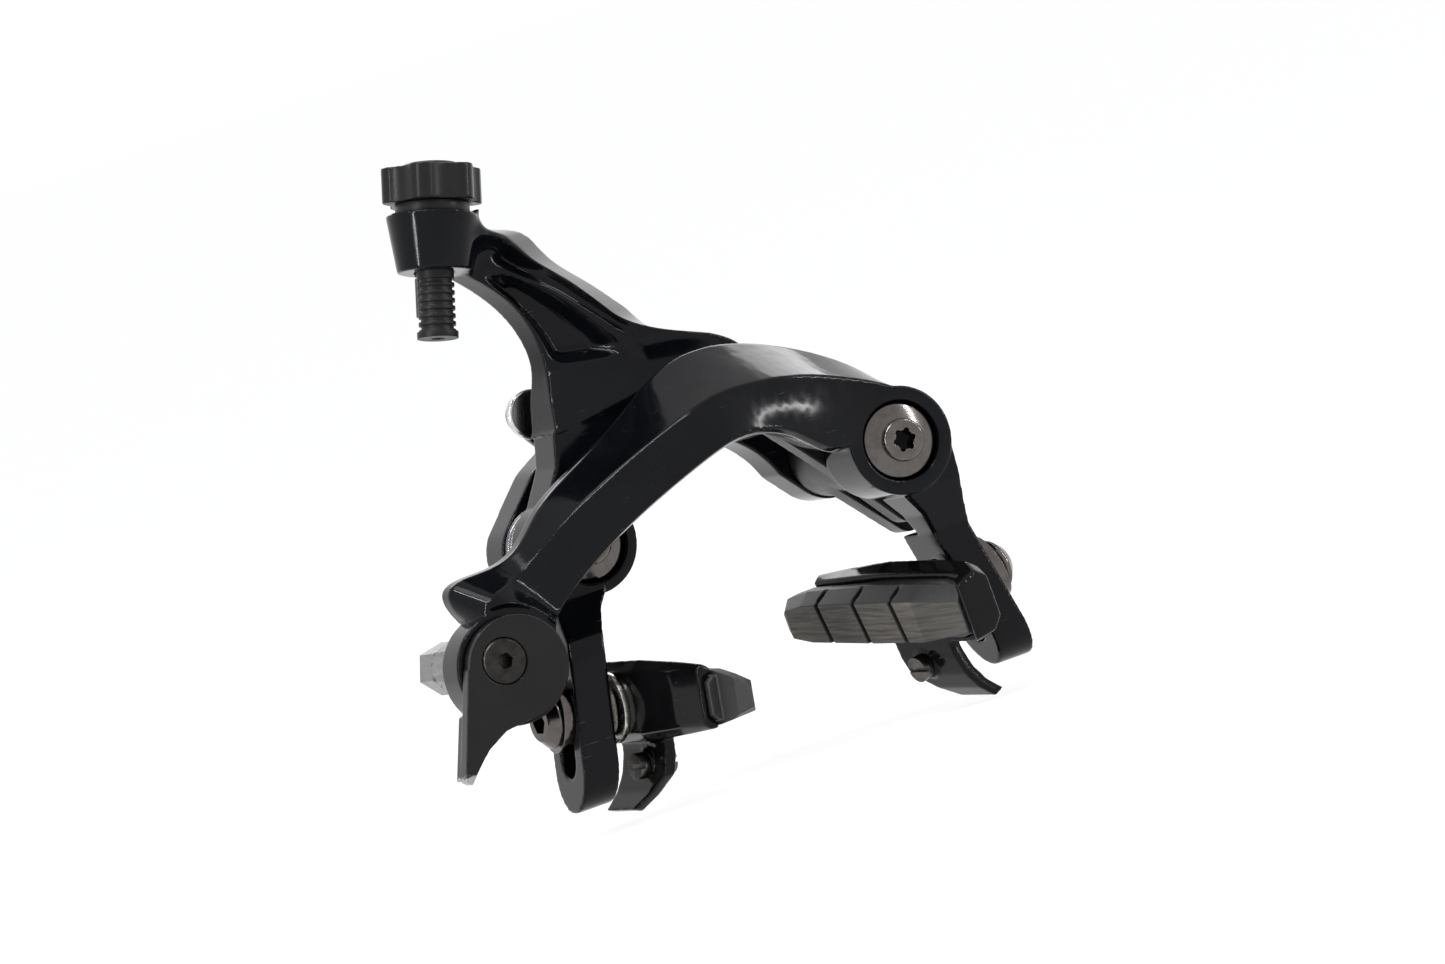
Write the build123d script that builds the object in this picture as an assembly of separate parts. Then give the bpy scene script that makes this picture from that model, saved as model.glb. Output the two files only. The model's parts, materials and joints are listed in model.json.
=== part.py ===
from build123d import *
import os
from math import atan2, cos, degrees, hypot, pi, radians, sin, tan

# Direct mount dual pivot rim brake caliper.
# Millimetres.  X to the right seen from the front, Y to the rear, Z up.  The origin lies midway between the
# two pivot bolt axes on the rear face of the joining plate, which is the face that meets the bicycle frame.

# ---------------------------------------------------------------- common fits
SPAN = 62.0                   # distance between the two pivot bolt axes
SHANK_R = 3.2                 # plain shank of the pivot bolts
STUD_R = 3.0                  # their M6 thread
STUD_OUT = 12.0               # thread standing out behind the joining plate
RUN = 0.05                    # radial running clearance
GAP = 0.3                     # gap between neighbouring bodies
PAST = 1.0                    # how far a cutter runs past the face it cuts

# ---------------------------------------------------------------- joining plate, sleeves and bolts
PLATE_T = 10.2
LOBE_R = 9.0                  # plate radius round each bolt
# Bridge between the lobes: x, z and radius of each stop.
PLATE_STOPS = ((-22.5, 7.0, 10.2), (-12.8, 14.9, 7.9), (1.5, 19.2, 7.1), (15.4, 15.6, 7.3))
PLATE_ARCH = (0.9, -8.6, 20.6)               # arch cut under the bridge: x, z, radius
SLEEVE_R = 5.5                # pivot sleeve
DOME_R = 7.4                  # domed seat washer
DOME_T = 1.6                  # its rim
DOME_RISE = 1.3               # its crown above the rim
HEAD_R = 4.2                  # pivot bolt head
HEAD_T = 1.6
HEAD_ROUND = 0.6
STAR_R = 2.3                  # star socket
STAR_DEPTH = 1.8
RECESS_R = 7.8                # recess in each arm's hub for the domed washer
RECESS_DEPTH = 3.0

# ---------------------------------------------------------------- return spring and its stop stud
WIRE_R = 0.8
COIL_R = 8.2                  # mean radius of the coil
COIL_TURNS = 3.0
COIL_PITCH = 1.7
FREE_LEG = 11.0               # height of the leg that bears on the rear arm
STOP_X, STOP_Z = -26.4, 26.1
STOP_R = 1.6
STOP_LUG = (-19.0, 17.0, 4.2)                # where the stud's lug leaves the plate
STOP_LUG_R = 3.6
STOP_LUG_T = 2.6
STOP_NECK = 2.2               # stud neck in front of the plate
STOP_FLANGE_R = 5.0
STOP_FLANGE_T = 1.6

# ---------------------------------------------------------------- hubs
C_HUB_R = 10.6                # front arm hub
C_HUB_T = 15.4
Y_HUB_R = 10.1                # rear arm hub
Y_HUB_T = 16.3
Y_REAR = -17.8                # rear face of the rear arm
LINK_HUB_R = 8.6              # link lever hub
LINK_HUB_T = 23.1

# ---------------------------------------------------------------- pad legs
LEG_WIDTH = 16.4              # front to rear
LEG_T = 7.4                   # inner face to outer face
LEG_TOP_Z = -19.3             # the leg has its full depth below this height
LEG_BOTTOM_Z = -48.3
SLOT_W = 7.6                  # pad slot
SLOT_TOP_Z = -24.1
SLOT_END_Z = -42.3
PAD_Y = -34.0                 # where the pad bolt crosses the middle of the leg
C_LEG_TILT = 13.5             # outward lean of the front arm's leg, degrees
Y_LEG_TILT = 11.5             # outward lean of the rear arm's leg
C_PAD_POINT = (10.0, -31.0)   # leg middle at the pad bolt, x and z from the arm's own pivot
Y_PAD_POINT = (-12.2, -30.5)

# ---------------------------------------------------------------- pads
PAD_BOLT_R = 2.5              # M5 pad bolt
PAD_TILT = 7.5                # downward lean of the pad bolt, degrees
RIGHT_TOE = 14.0              # swing of the pad's open end towards the rim
LEFT_TOE = 8.0
RIGHT_PITCH = 6.6             # rise of the open end about the pad bolt
LEFT_PITCH = -3.2
LIP_DIST = 13.4               # leg middle to the lip of the holder
HOLDER_T = 6.4                # holder back to lip
HOLDER_HALF = 7.6             # half of the holder height
HOLDER_FRONT = 19.0           # closed end, from the pad bolt
HOLDER_REAR = 30.5            # open end, from the pad bolt
HOLDER_SWELL = 1.1            # the back of the holder stands higher than its lip
HOLDER_WALL = 1.5
END_WALL = 2.4                # wall of the closed end
RUBBER_NOSE = 38.0            # rubber end beyond the open end, from the pad bolt
RUBBER_DEPTH = 5.2            # rubber standing out of the holder
RUBBER_INSET = 3.0            # rubber hidden inside the holder
RUBBER_GAP = 0.1
CREASE = 3.7                  # height of the crease between the worn and the falling facet
GROOVE_W = 1.1
GROOVE_DEPTH = 3.2
GROOVE_PITCH = 11.7
GROOVE_FIRST = -1.0           # crease point of the groove next to the pad bolt
GROOVE_LEANS = (-9.5, 35.0)   # lean of the lower and the upper branch, degrees
WASHER_R = 7.0                # spherical washers between leg and holder
BALL_R = 7.6                  # radius of their ball faces
CUP_T = 1.2                   # rim of the cupped washer
WIDE_BORE_R = 4.9             # bore of the domed washer, wide enough for the swung bolt
OUTER_WASHER_R = 6.9          # dished washer under the pad bolt head
OUTER_WASHER_T = 2.2
OUTER_BORE_R = 3.8
PAD_HEAD_R = 5.4
PAD_HEAD_TOP = 9.3            # head top, outwards from the leg middle
PAD_HEAD_END_R = 3.7
PAD_HEAD_SHOULDER = 1.9       # height of the head's crown
SOCKET_R = 2.4                # pad bolt's hexagon socket, to its corners
SOCKET_DEPTH = 2.8
SEAT_AT = 10.75               # ball centre of the dished washer, outwards from the leg middle
SEAT_R = 6.6
SHANK_IN = 2.2                # pad bolt thread inside the holder
FIN_T = 2.4                   # wheel guide fin
# Inward distance and height of the fin's curve, then its outline from the side.
FIN_CURVE = ((13.2, -6.0), (13.6, -10.0), (13.0, -14.0), (11.4, -17.6), (8.8, -20.6))
FIN_SIDE = ((-11.5, -4.0), (6.0, -4.0), (9.0, -21.4), (-1.0, -21.4), (-10.0, -14.0))
FIN_SCREW = (-3.3, -11.8)     # retaining screw, along the pad and height
FIN_BOSS_R = 3.0
FIN_BOSS = (10.0, 13.8)       # boss faces, inwards from the leg middle
PIN_SCREW_R = 1.6             # retaining screw
PIN_HEAD_R = 2.6
PIN_HEAD_T = 2.2
PIN_SLOT_W = 0.9

# ---------------------------------------------------------------- adjuster
BARREL_LEAN = 17.7            # lean of the adjuster axis to the right, degrees
BARREL_TIP = 4.2              # lean of the adjuster axis to the rear
BARREL_TOP = (-3.8, -24.8, 77.5)             # top centre of the knob, x from the rear arm's pivot
KNOB_R = 10.3                 # hexagon corners before rounding
KNOB_T = 6.9
KNOB_ROUND = 2.2
COLLAR_R = 7.2
COLLAR_T = 2.1
BOSS_R = 9.1                  # adjuster boss at its top
BOSS_FOOT_R = 7.3
BOSS_T = 11.2
THREAD_R = 3.6                # adjuster barrel
THREAD_OUT = 12.8             # thread below the boss
THREAD_PITCH = 1.5
THREAD_DEPTH = 0.45
CORE_R = 5.2                  # barrel inside the knob
BARREL_END_R = 4.0
BARREL_END_T = 1.3
CABLE_HOLE_R = 1.3
CASING_R = 2.6                # cable casing socket in the knob
CASING_DEPTH = 7.0
GUIDE = (3.2, 2.2, 7.6)       # detent rib: width, depth, height
GUIDE_OFF = 2.2               # rib behind the thread
GUIDE_PITCH = 1.5

# ---------------------------------------------------------------- release lever and cable anchor
CAM_AT = (-89.1, -16.7)       # release lever axis, x and z from the front arm's pivot
CAM_R = 10.0                  # release lever disc
CAM_T = 3.4
CAM_FRONT = -51.6
CAM_BOSS_R = 11.2             # end boss of the front arm
CAM_BOSS_REAR = -38.6
CAM_SWEEP = 1.9               # room cut round the disc
CAM_HUB_R = 6.0               # eccentric barrel of the lever inside the arm
CAM_OFFSET = (-2.5, 1.9)      # anchor bolt from the lever axis
BLADE = ((-10.0, 2.6), (-17.3, -17.4), (-16.2, -18.4), (-13.9, -15.9), (-10.8, -13.1), (-6.4, -10.8),
         (1.6, -9.9), (0.0, 0.0))            # lever blade, from its axis
FLANGE = ((-12.9, -5.9), (-17.3, -17.4), (-15.8, -17.0), (-11.5, -5.5))      # turned edge of the blade
FLANGE_DEPTH = 5.9
ANCHOR_R = 2.5
ANCHOR_HEAD_R = 4.4
ANCHOR_HEAD_T = 1.1
ANCHOR_SUNK = 0.8             # anchor head below the face of the lever
ANCHOR_SOCKET_R = 1.6         # its hexagon socket, to its corners
ANCHOR_REAR = -13.9
CLAMP_R = 6.4
CLAMP_T = 2.6
CABLE_R = 0.9                 # groove for the cable
NUT_AF = 9.0
NUT_T = 8.0
NUT_COLLAR_R = 4.8

# ---------------------------------------------------------------- front arm
# Stations along the front arm: x and z of the front ridge from the arm's pivot, lean of the section from
# upright in degrees, rise to the rear top edge, drop to the lower front edge, and the depths of the top
# edge, the ridge and the lower edge.
C_STATIONS = (
    (-92.2, -7.7, 28, 3.3, 13.4, -40.1, -44.5, -46.3),
    (-82.5, -1.2, 26, 3.7, 10.9, -40.6, -44.9, -47.8),
    (-71.1, 5.4, 23, 4.0, 9.0, -40.6, -47.1, -49.5),
    (-58.9, 11.7, 20, 4.4, 8.6, -39.4, -48.6, -53.3),
    (-46.8, 16.6, 14, 5.6, 8.6, -37.6, -51.6, -55.5),
    (-40.6, 18.8, 9, 7.1, 8.7, -37.2, -53.0, -56.6),
    (-33.6, 20.1, -2, 8.5, 8.9, -37.1, -52.3, -56.2),
    (-25.5, 19.8, -15, 8.4, 9.3, -37.0, -51.6, -55.3),
    (-17.7, 18.5, -25, 7.0, 10.8, -37.0, -51.3, -53.7),
    (-8.8, 15.6, -36, 5.4, 13.6, -37.0, -50.2, -51.7),
    (-0.5, 11.8, -49, 3.2, 14.6, -37.3, -49.2, -49.9),
    (3.6, 8.4, -62, 2.3, 12.0, -37.6, -48.6, -49.2),
)
C_BACK = -36.6                # rear face of the front arm
C_UNDERCUT = 2.4              # the underside runs back from the lower front edge
# Neck between hub and leg: z, inner x and outer x from the arm's pivot, front and rear depth.
C_NECK = (
    (1.5, -4.0, 10.2, -49.0, -33.9),
    (-10.0, -2.4, 10.2, -47.6, -33.9),
    (-15.4, 1.6, 10.6, -44.6, -33.9),
    (-19.4, 3.4, 11.2, -42.2, -33.9),
)
TAB_X = (10.9, 13.4)          # centring screw tab, from the arm's pivot
TAB_Z = (-16.1, -5.6)
TAB_REAR = -16.5
TAB_ROOT = 3.0                # depth of the root that joins the tab to the hub
TAB_SCREW_R = 2.0
TAB_SCREW_Y, TAB_SCREW_Z = -21.7, -10.5
TAB_SCREW_ENDS = (10.2, 14.4)
TAB_SOCKET_R = 1.2
TAB_SOCKET_DEPTH = 2.0

# ---------------------------------------------------------------- link lever and roller
LINK_ARM_T = 5.4
LINK_INNER = ((-17.0, 13.2, 4.4),)           # bend of the inner arm: x and z from the pivot, radius
LINK_TIP_R = 3.4
LINK_FRONT_FOOT = (3.6, -13.3, 3.2)          # lower arm, front layer
LINK_REAR_FOOT = (7.0, -15.9, 3.2)           # lower arm, rear layer
LINK_REAR_Y = (-23.4, -17.0)
ROLLER_AT = (-39.1, 13.0)     # roller axis, from the front arm's pivot
ROLLER_R = 4.2
ROLLER_T = 5.4
ROLLER_END_PLAY = 0.15
ROLLER_PIN_R = 1.6
ROLLER_CAP_R = 2.6
ROLLER_CAP_T = 0.8
ROLLER_PATH = (-0.4, -1.1, 16.1)             # circle of the roller's centre in the rear arm: x, z, radius

# ---------------------------------------------------------------- rear arm
# Sections of the rear arm's upper limb at falling heights: z, then x and y of the front left edge, of the
# ridge and of the right edge, x from the arm's pivot.
Y_STATIONS = (
    (67.5, -11.1, -28.8, -5.0, -29.3, 3.2, -28.0),
    (62.0, -9.8, -29.7, -1.3, -30.0, 6.8, -28.6),
    (54.4, -2.1, -25.8, 8.1, -26.3, 14.7, -28.6),
    (48.7, 2.6, -25.9, 12.6, -27.8, 18.7, -28.8),
    (43.2, 5.4, -24.9, 17.1, -27.8, 23.2, -28.9),
    (37.5, 6.6, -23.8, 21.4, -28.7, 28.1, -29.1),
    (32.0, 5.7, -25.1, 25.8, -28.9, 36.4, -29.1),
    (27.5, 3.9, -27.7, 21.4, -28.5, 43.6, -28.9),
    (21.9, 1.8, -30.0, 15.1, -28.8, 50.6, -26.3),
)
REAR_LEFT = -1.0              # shift of the limb's left side at its rear face
REAR_RIGHT = -0.2
# Web between the limb and the hub, and the branch over the roller, x and z from the arm's pivot.
Y_WEB = ((1.8, 22.1), (0.1, 15.7), (-4.6, 8.6), (-8.5, 0.0), (4.2, 2.2), (12.5, 9.7), (22.9, 17.2),
         (34.0, 18.0), (38.5, 20.0), (49.0, 20.3), (50.7, 22.1))
Y_WEB_FRONT = -29.6
Y_NECK = (
    (3.0, -9.6, 1.0, -34.1, -17.8),
    (-9.0, -10.9, 0.6, -35.2, -17.8),
    (-12.3, -11.8, -2.6, -37.4, -18.8),
    (-16.4, -12.8, -5.0, -40.8, -22.6),
    (-19.4, -13.9, -6.2, -42.2, -25.8),
)

# ---------------------------------------------------------------- derived places
C_X, Y_X = SPAN / 2, -SPAN / 2
PLATE_FRONT = -PLATE_T
Y_HUB_FRONT = Y_REAR - Y_HUB_T
LINK_REAR = PLATE_FRONT - GAP
LINK_FRONT = LINK_REAR - LINK_HUB_T
C_HUB_REAR = LINK_FRONT - GAP
C_HUB_FRONT = C_HUB_REAR - C_HUB_T
LEG_FRONT, LEG_REAR = PAD_Y - LEG_WIDTH / 2, PAD_Y + LEG_WIDTH / 2
HOLDER_BACK = LIP_DIST - HOLDER_T
FACE_DIST = LIP_DIST + RUBBER_DEPTH
CAM_X, CAM_Z = C_X + CAM_AT[0], CAM_AT[1]
ANCHOR_X, ANCHOR_Z = CAM_X + CAM_OFFSET[0], CAM_Z + CAM_OFFSET[1]
ROLLER_X, ROLLER_Z = C_X + ROLLER_AT[0], ROLLER_AT[1]
CLAMP_FRONT = C_BACK + GAP
PIVOTS = (("right", C_X, C_HUB_FRONT), ("left", Y_X, Y_HUB_FRONT))
SIDES = (("right", 1), ("left", -1))


# ---------------------------------------------------------------- helpers
def layer(face, y_front, y_rear):
    """Extrude a sketch drawn in X and Z between two depths."""
    return extrude(Plane.XZ.offset(-y_rear) * face, y_rear - y_front)


def rod(x, z, radius, y_front, y_rear):
    """A cylinder along Y."""
    return Pos(x, (y_front + y_rear) / 2, z) * Rot(90, 0, 0) * Cylinder(radius, y_rear - y_front)


def outline(points, x=0.0, z=0.0):
    """A closed face through points given as x and z from a place."""
    return make_face(Polyline(*[(x + a, z + b) for a, b in points], close=True))


def link(a, b):
    """Two circles, each given as x, z and radius, joined by their outer tangents."""
    (ax, az, ra), (bx, bz, rb) = a, b
    length = hypot(bx - ax, bz - az)
    along = atan2(bz - az, bx - ax)
    spread = pi / 2 + atan2(rb - ra, (length ** 2 - (rb - ra) ** 2) ** 0.5)
    corners = [(x + r * cos(along + t * spread), z + r * sin(along + t * spread))
               for x, z, r, t in ((*a, 1), (*a, -1), (*b, -1), (*b, 1))]
    return Pos(ax, az) * Circle(ra) + Pos(bx, bz) * Circle(rb) + outline(corners)


def chain(*stops):
    """Tapered links through a row of stops."""
    face = link(stops[0], stops[1])
    for a, b in zip(stops[1:], stops[2:]):
        face += link(a, b)
    return face


def disc(radius, low, high):
    """A cylinder between two heights on its local Z axis."""
    return Pos(0, 0, (low + high) / 2) * Cylinder(radius, high - low)


def ring(outer, inner, low, high):
    """A washer shape standing on its local Z axis."""
    return disc(outer, low, high) - disc(inner, low - PAST, high + PAST)


def star(radius):
    """A six lobed socket outline."""
    face = Circle(radius * 0.8)
    for n in range(6):
        face += Rot(0, 0, 60 * n) * Pos(radius * 0.78, 0) * Circle(radius * 0.25)
    return face


def front_circle(shape):
    """The foremost round edge of a shape turned about Y."""
    return shape.edges().filter_by(GeomType.CIRCLE).sort_by(Axis.Y)[0]


def column(stations, x):
    """A block lofted down through rectangles given as z, inner x, outer x, front and rear."""
    wires = []
    for z, x1, x2, front, rear in stations:
        corners = ((x1, front), (x2, front), (x2, rear), (x1, rear))
        wires.append(Wire.make_polygon([(x + a, y, z) for a, y in corners], close=True))
    return Solid.make_loft(wires, True)


def save(name, shape):
    """Write one node."""
    shape.label = name
    export_step(shape, os.path.join("parts", name + ".step"))


# ---------------------------------------------------------------- joining plate, sleeves and bolts
def booster_plate():
    """Bridge between the two bolts with an arch for the wheel and a thin lug for the stop stud."""
    plate = layer(chain((Y_X, 0, LOBE_R), *PLATE_STOPS, (C_X, 0, LOBE_R)), PLATE_FRONT, 0)
    lug = link(STOP_LUG, (STOP_X, STOP_Z, STOP_LUG_R))
    plate += layer(lug, PLATE_FRONT, PLATE_FRONT + STOP_LUG_T)
    plate -= rod(*PLATE_ARCH, PLATE_FRONT - PAST, PAST)
    for x in (C_X, Y_X):
        plate -= rod(x, 0, SHANK_R + RUN, PLATE_FRONT - PAST, PAST)
    return plate - rod(STOP_X, STOP_Z, STOP_R, PLATE_FRONT - PAST, PAST)


def pivot_sleeve(x, hub_front):
    """Sleeve that the arm turns on, clamped between plate and domed washer."""
    front = hub_front + RECESS_DEPTH - GAP
    return rod(x, 0, SLEEVE_R, front, PLATE_FRONT) - rod(x, 0, SHANK_R + RUN, front - PAST, PLATE_FRONT + PAST)


def dome_washer(x, hub_front):
    """Seat washer with a crowned front."""
    rear = hub_front + RECESS_DEPTH - GAP
    front = rear - DOME_T
    top = front - DOME_RISE
    hole = SHANK_R + RUN
    crown = ThreePointArc((hole, top), (DOME_R * 0.75, front - DOME_RISE * 0.52), (DOME_R, front))
    sides = Polyline((DOME_R, front), (DOME_R, rear), (hole, rear), (hole, top))
    return Pos(x, 0, 0) * revolve(make_face(crown + sides), Axis.Y)


def pivot_bolt(x, hub_front):
    """Crowned head with a star socket, plain shank, and the thread that enters the bicycle's boss."""
    seat = hub_front + RECESS_DEPTH - GAP - DOME_T - DOME_RISE
    front = seat - HEAD_T
    head = rod(x, 0, HEAD_R, front, seat)
    head = fillet(front_circle(head), HEAD_ROUND)
    bolt = head + rod(x, 0, SHANK_R, seat, 0) + rod(x, 0, STUD_R, 0, STUD_OUT)
    bolt -= layer(Pos(x, 0) * star(STAR_R), front - PAST, front + STAR_DEPTH)
    end = bolt.edges().filter_by(GeomType.CIRCLE).sort_by(Axis.Y)[-1]
    return chamfer(end, HEAD_ROUND)


# ---------------------------------------------------------------- return spring and its stop stud
def stop_stud():
    """Flanged stud for the spring's fixed leg."""
    flange_rear = PLATE_FRONT - STOP_NECK
    flange = rod(STOP_X, STOP_Z, STOP_FLANGE_R, flange_rear - STOP_FLANGE_T, flange_rear)
    flange = chamfer(front_circle(flange), STOP_FLANGE_T / 4)
    return flange + rod(STOP_X, STOP_Z, STOP_R, flange_rear, PLATE_FRONT + STOP_LUG_T)


def return_spring():
    """Coil round the left sleeve, one leg on the stop stud and one along the rear arm."""
    rear = PLATE_FRONT - GAP - WIRE_R
    height = COIL_TURNS * COIL_PITCH
    helix = Helix(COIL_PITCH, height, COIL_R)
    profile = Plane(helix @ 0, z_dir=helix % 0) * Circle(WIRE_R)
    coil = Pos(Y_X, rear, 0) * Rot(90, 0, 0) * sweep(profile, helix, is_frenet=True)
    roots = (Vector(Y_X + COIL_R, rear, 0), Vector(Y_X + COIL_R, rear - height, 0))
    beside_stud = STOP_X + STOP_R + WIRE_R + RUN
    tips = (Vector(beside_stud, rear, STOP_Z + WIRE_R),
            Vector(Y_X + COIL_R + WIRE_R, rear - height, FREE_LEG))
    for root, tip in zip(roots, tips):
        coil += sweep(Plane(root, z_dir=tip - root) * Circle(WIRE_R), Edge.make_line(root, tip))
        coil += Pos(*root) * Sphere(WIRE_R)
    return coil


# ---------------------------------------------------------------- pad legs
def leg_side():
    """Side view of a leg's full depth part, rounded at its foot, as a thick slab along X."""
    half = LEG_WIDTH / 2
    height = LEG_TOP_Z - LEG_BOTTOM_Z - half
    face = Pos(PAD_Y, LEG_TOP_Z - height / 2) * Rectangle(LEG_WIDTH, height)
    face += Pos(PAD_Y, LEG_BOTTOM_Z + half) * Circle(half)
    return extrude(Plane.YZ * face, SPAN, both=True)


def leg_frame(side):
    """Leg frame at the pad bolt: Y up along the leg, Z inwards and square to its faces."""
    x, z = (C_X + C_PAD_POINT[0], C_PAD_POINT[1]) if side > 0 else (Y_X + Y_PAD_POINT[0], Y_PAD_POINT[1])
    tilt = radians(C_LEG_TILT if side > 0 else Y_LEG_TILT)
    return Plane((x, PAD_Y, z), x_dir=(0, -side, 0), z_dir=(-side * cos(tilt), 0, -sin(tilt)))


def leg_solid(side):
    """The straight leg with its pad slot."""
    x, _, z = leg_frame(side).origin
    slope = side * tan(radians(C_LEG_TILT if side > 0 else Y_LEG_TILT))
    half = LEG_T / 2 / cos(atan2(abs(slope), 1))
    ends = [(x + slope * (z - end), end) for end in (LEG_TOP_Z, LEG_BOTTOM_Z)]
    (xt, zt), (xb, zb) = ends
    face = outline([(xt - half, zt), (xt + half, zt), (xb + half, zb), (xb - half, zb)])
    return (layer(face, LEG_FRONT, LEG_REAR) & leg_side()) - leg_slot(side)


def leg_slot(side):
    """Cutter for the pad slot, square to the leg."""
    frame = leg_frame(side)
    lean = cos(radians(C_LEG_TILT if side > 0 else Y_LEG_TILT))
    middle = ((SLOT_TOP_Z + SLOT_END_Z) / 2 - frame.origin.Z) / lean
    slot = SlotOverall((SLOT_TOP_Z - SLOT_END_Z) / lean, SLOT_W, rotation=90)
    return extrude(frame * (Pos(0, middle) * slot), LEG_T, both=True)


# ---------------------------------------------------------------- front arm
def arm_section(x, z, lean, rise, drop, y_top, y_ridge, y_low):
    """One closed section across the front arm."""
    ux, uz = -sin(radians(lean)), cos(radians(lean))
    rows = ((rise, C_BACK), (rise, y_top), (0, y_ridge), (-drop, y_low), (-drop - 0.8, y_low + C_UNDERCUT),
            (0.6 - drop, C_BACK))
    return Wire.make_polygon([(C_X + x + ux * h, y, z + uz * h) for h, y in rows], close=True)


def c_arm():
    """Front arm: a curved beam from the release lever to the right pivot, its leg and the centring tab."""
    arm = Solid.make_loft([arm_section(*station) for station in C_STATIONS])
    arm += rod(C_X, 0, C_HUB_R, C_HUB_FRONT, C_HUB_REAR)
    pocket = CAM_FRONT + CAM_T + GAP
    arm += rod(CAM_X, CAM_Z, CAM_BOSS_R, pocket, CAM_BOSS_REAR)
    arm += column(C_NECK, C_X)
    arm += leg_solid(1)
    x1, x2, (z1, z2) = C_X + TAB_X[0], C_X + TAB_X[1], TAB_Z
    root = (C_X + LINK_HUB_R, C_HUB_REAR - TAB_ROOT, C_HUB_REAR)
    for inner, front, rear in (root, (x1, C_HUB_REAR - PAST, TAB_REAR)):
        arm += layer(outline([(inner, z1), (x2, z1), (x2, z2), (inner, z2)]), front, rear)
    arm -= rod(CAM_X, CAM_Z, CAM_R + CAM_SWEEP, pocket - BOSS_T, pocket)
    arm -= rod(CAM_X, CAM_Z, CAM_HUB_R + RUN, pocket - PAST, C_BACK + PAST)
    arm -= rod(C_X, 0, RECESS_R, C_HUB_FRONT - LINK_ARM_T, C_HUB_FRONT + RECESS_DEPTH)
    arm -= rod(C_X, 0, SLEEVE_R + RUN, C_HUB_FRONT - PAST, C_HUB_REAR + PAST)
    hole = Cylinder(TAB_SCREW_R + RUN, TAB_X[1] - TAB_X[0] + 2 * PAST)
    return arm - Pos((x1 + x2) / 2, TAB_SCREW_Y, TAB_SCREW_Z) * Rot(0, 90, 0) * hole


def centering_screw():
    """Set screw through the tab, with a hexagon socket at its outer end."""
    x1, x2 = C_X + TAB_SCREW_ENDS[0], C_X + TAB_SCREW_ENDS[1]
    screw = Pos((x1 + x2) / 2, TAB_SCREW_Y, TAB_SCREW_Z) * Rot(0, 90, 0) * Cylinder(TAB_SCREW_R, x2 - x1)
    socket = extrude(Plane.YZ * RegularPolygon(TAB_SOCKET_R, 6), TAB_SOCKET_DEPTH)
    return screw - Pos(x2 - TAB_SOCKET_DEPTH, TAB_SCREW_Y, TAB_SCREW_Z) * socket


# ---------------------------------------------------------------- link lever and roller
def from_pivot(stop):
    """A stop given from the front arm's pivot."""
    return (C_X + stop[0], *stop[1:])


def link_lever():
    """Hub on the front arm's pivot, an inner arm to the roller and a short lower arm in two layers."""
    pivot = (C_X, 0, LINK_HUB_R)
    mid = LINK_FRONT + LINK_ARM_T
    inner = chain(pivot, *[from_pivot(s) for s in LINK_INNER], (ROLLER_X, ROLLER_Z, LINK_TIP_R))
    lever = rod(*pivot, LINK_FRONT, LINK_REAR)
    lever += layer(inner + link(pivot, from_pivot(LINK_FRONT_FOOT)), LINK_FRONT, mid)
    lever += layer(link(pivot, from_pivot(LINK_REAR_FOOT)), *LINK_REAR_Y)
    lever -= rod(C_X, 0, SLEEVE_R + RUN, LINK_FRONT - PAST, LINK_REAR + PAST)
    return lever - rod(ROLLER_X, ROLLER_Z, ROLLER_PIN_R, LINK_FRONT - PAST, mid + PAST)


def roller_pin():
    """Riveted pin with a cap behind the roller."""
    cap = LINK_FRONT + LINK_ARM_T + 2 * ROLLER_END_PLAY + ROLLER_T
    pin = rod(ROLLER_X, ROLLER_Z, ROLLER_PIN_R, LINK_FRONT, cap)
    return pin + rod(ROLLER_X, ROLLER_Z, ROLLER_CAP_R, cap, cap + ROLLER_CAP_T)


def equalizer_roller():
    """Roller through which the front arm lifts the rear arm."""
    front = LINK_FRONT + LINK_ARM_T + ROLLER_END_PLAY
    rear = front + ROLLER_T
    return rod(ROLLER_X, ROLLER_Z, ROLLER_R, front, rear) - \
        rod(ROLLER_X, ROLLER_Z, ROLLER_PIN_R + RUN, front - PAST, rear + PAST)


# ---------------------------------------------------------------- rear arm
def limb_section(z, xl, yl, xm, ym, xr, yr):
    """One level section of the rear arm's upper limb."""
    rows = ((xl + REAR_LEFT, Y_REAR), (xl, yl), (xm, ym), (xr, yr), (xr + REAR_RIGHT, Y_REAR))
    return Wire.make_polygon([(Y_X + x, y, z) for x, y in rows], close=True)


def y_arm():
    """Rear arm: the limb up to the adjuster boss, the branch over the roller, the hub and the leg."""
    arm = Solid.make_loft([limb_section(*station) for station in Y_STATIONS])
    arm += layer(outline(Y_WEB, Y_X), Y_WEB_FRONT, Y_REAR)
    x, z, radius = ROLLER_PATH
    arm -= rod(x, z, radius + ROLLER_R + GAP, LEG_FRONT, 0)
    arm += rod(Y_X, 0, Y_HUB_R, Y_HUB_FRONT, Y_REAR)
    arm += column(Y_NECK, Y_X)
    arm += leg_solid(-1)
    foot = barrel_frame(KNOB_T + COLLAR_T + BOSS_T)
    taper = degrees(atan2(BOSS_R - BOSS_FOOT_R, BOSS_T))
    arm += foot * extrude(Circle(BOSS_FOOT_R), BOSS_T, taper=-taper)
    top = barrel_frame(KNOB_T + COLLAR_T)
    arm -= top * (disc(COLLAR_R + GAP, 0, COLLAR_T) + disc(KNOB_R + KNOB_ROUND, COLLAR_T - 2 * GAP, KNOB_T))
    arm -= top * disc(THREAD_R + RUN, -2 * BOSS_T, BOSS_T)
    arm -= rod(Y_X, 0, SLEEVE_R + RUN, Y_HUB_FRONT - PAST, Y_REAR + PAST)
    return arm - rod(Y_X, 0, RECESS_R, Y_HUB_FRONT - LINK_ARM_T, Y_HUB_FRONT + RECESS_DEPTH)


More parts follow.
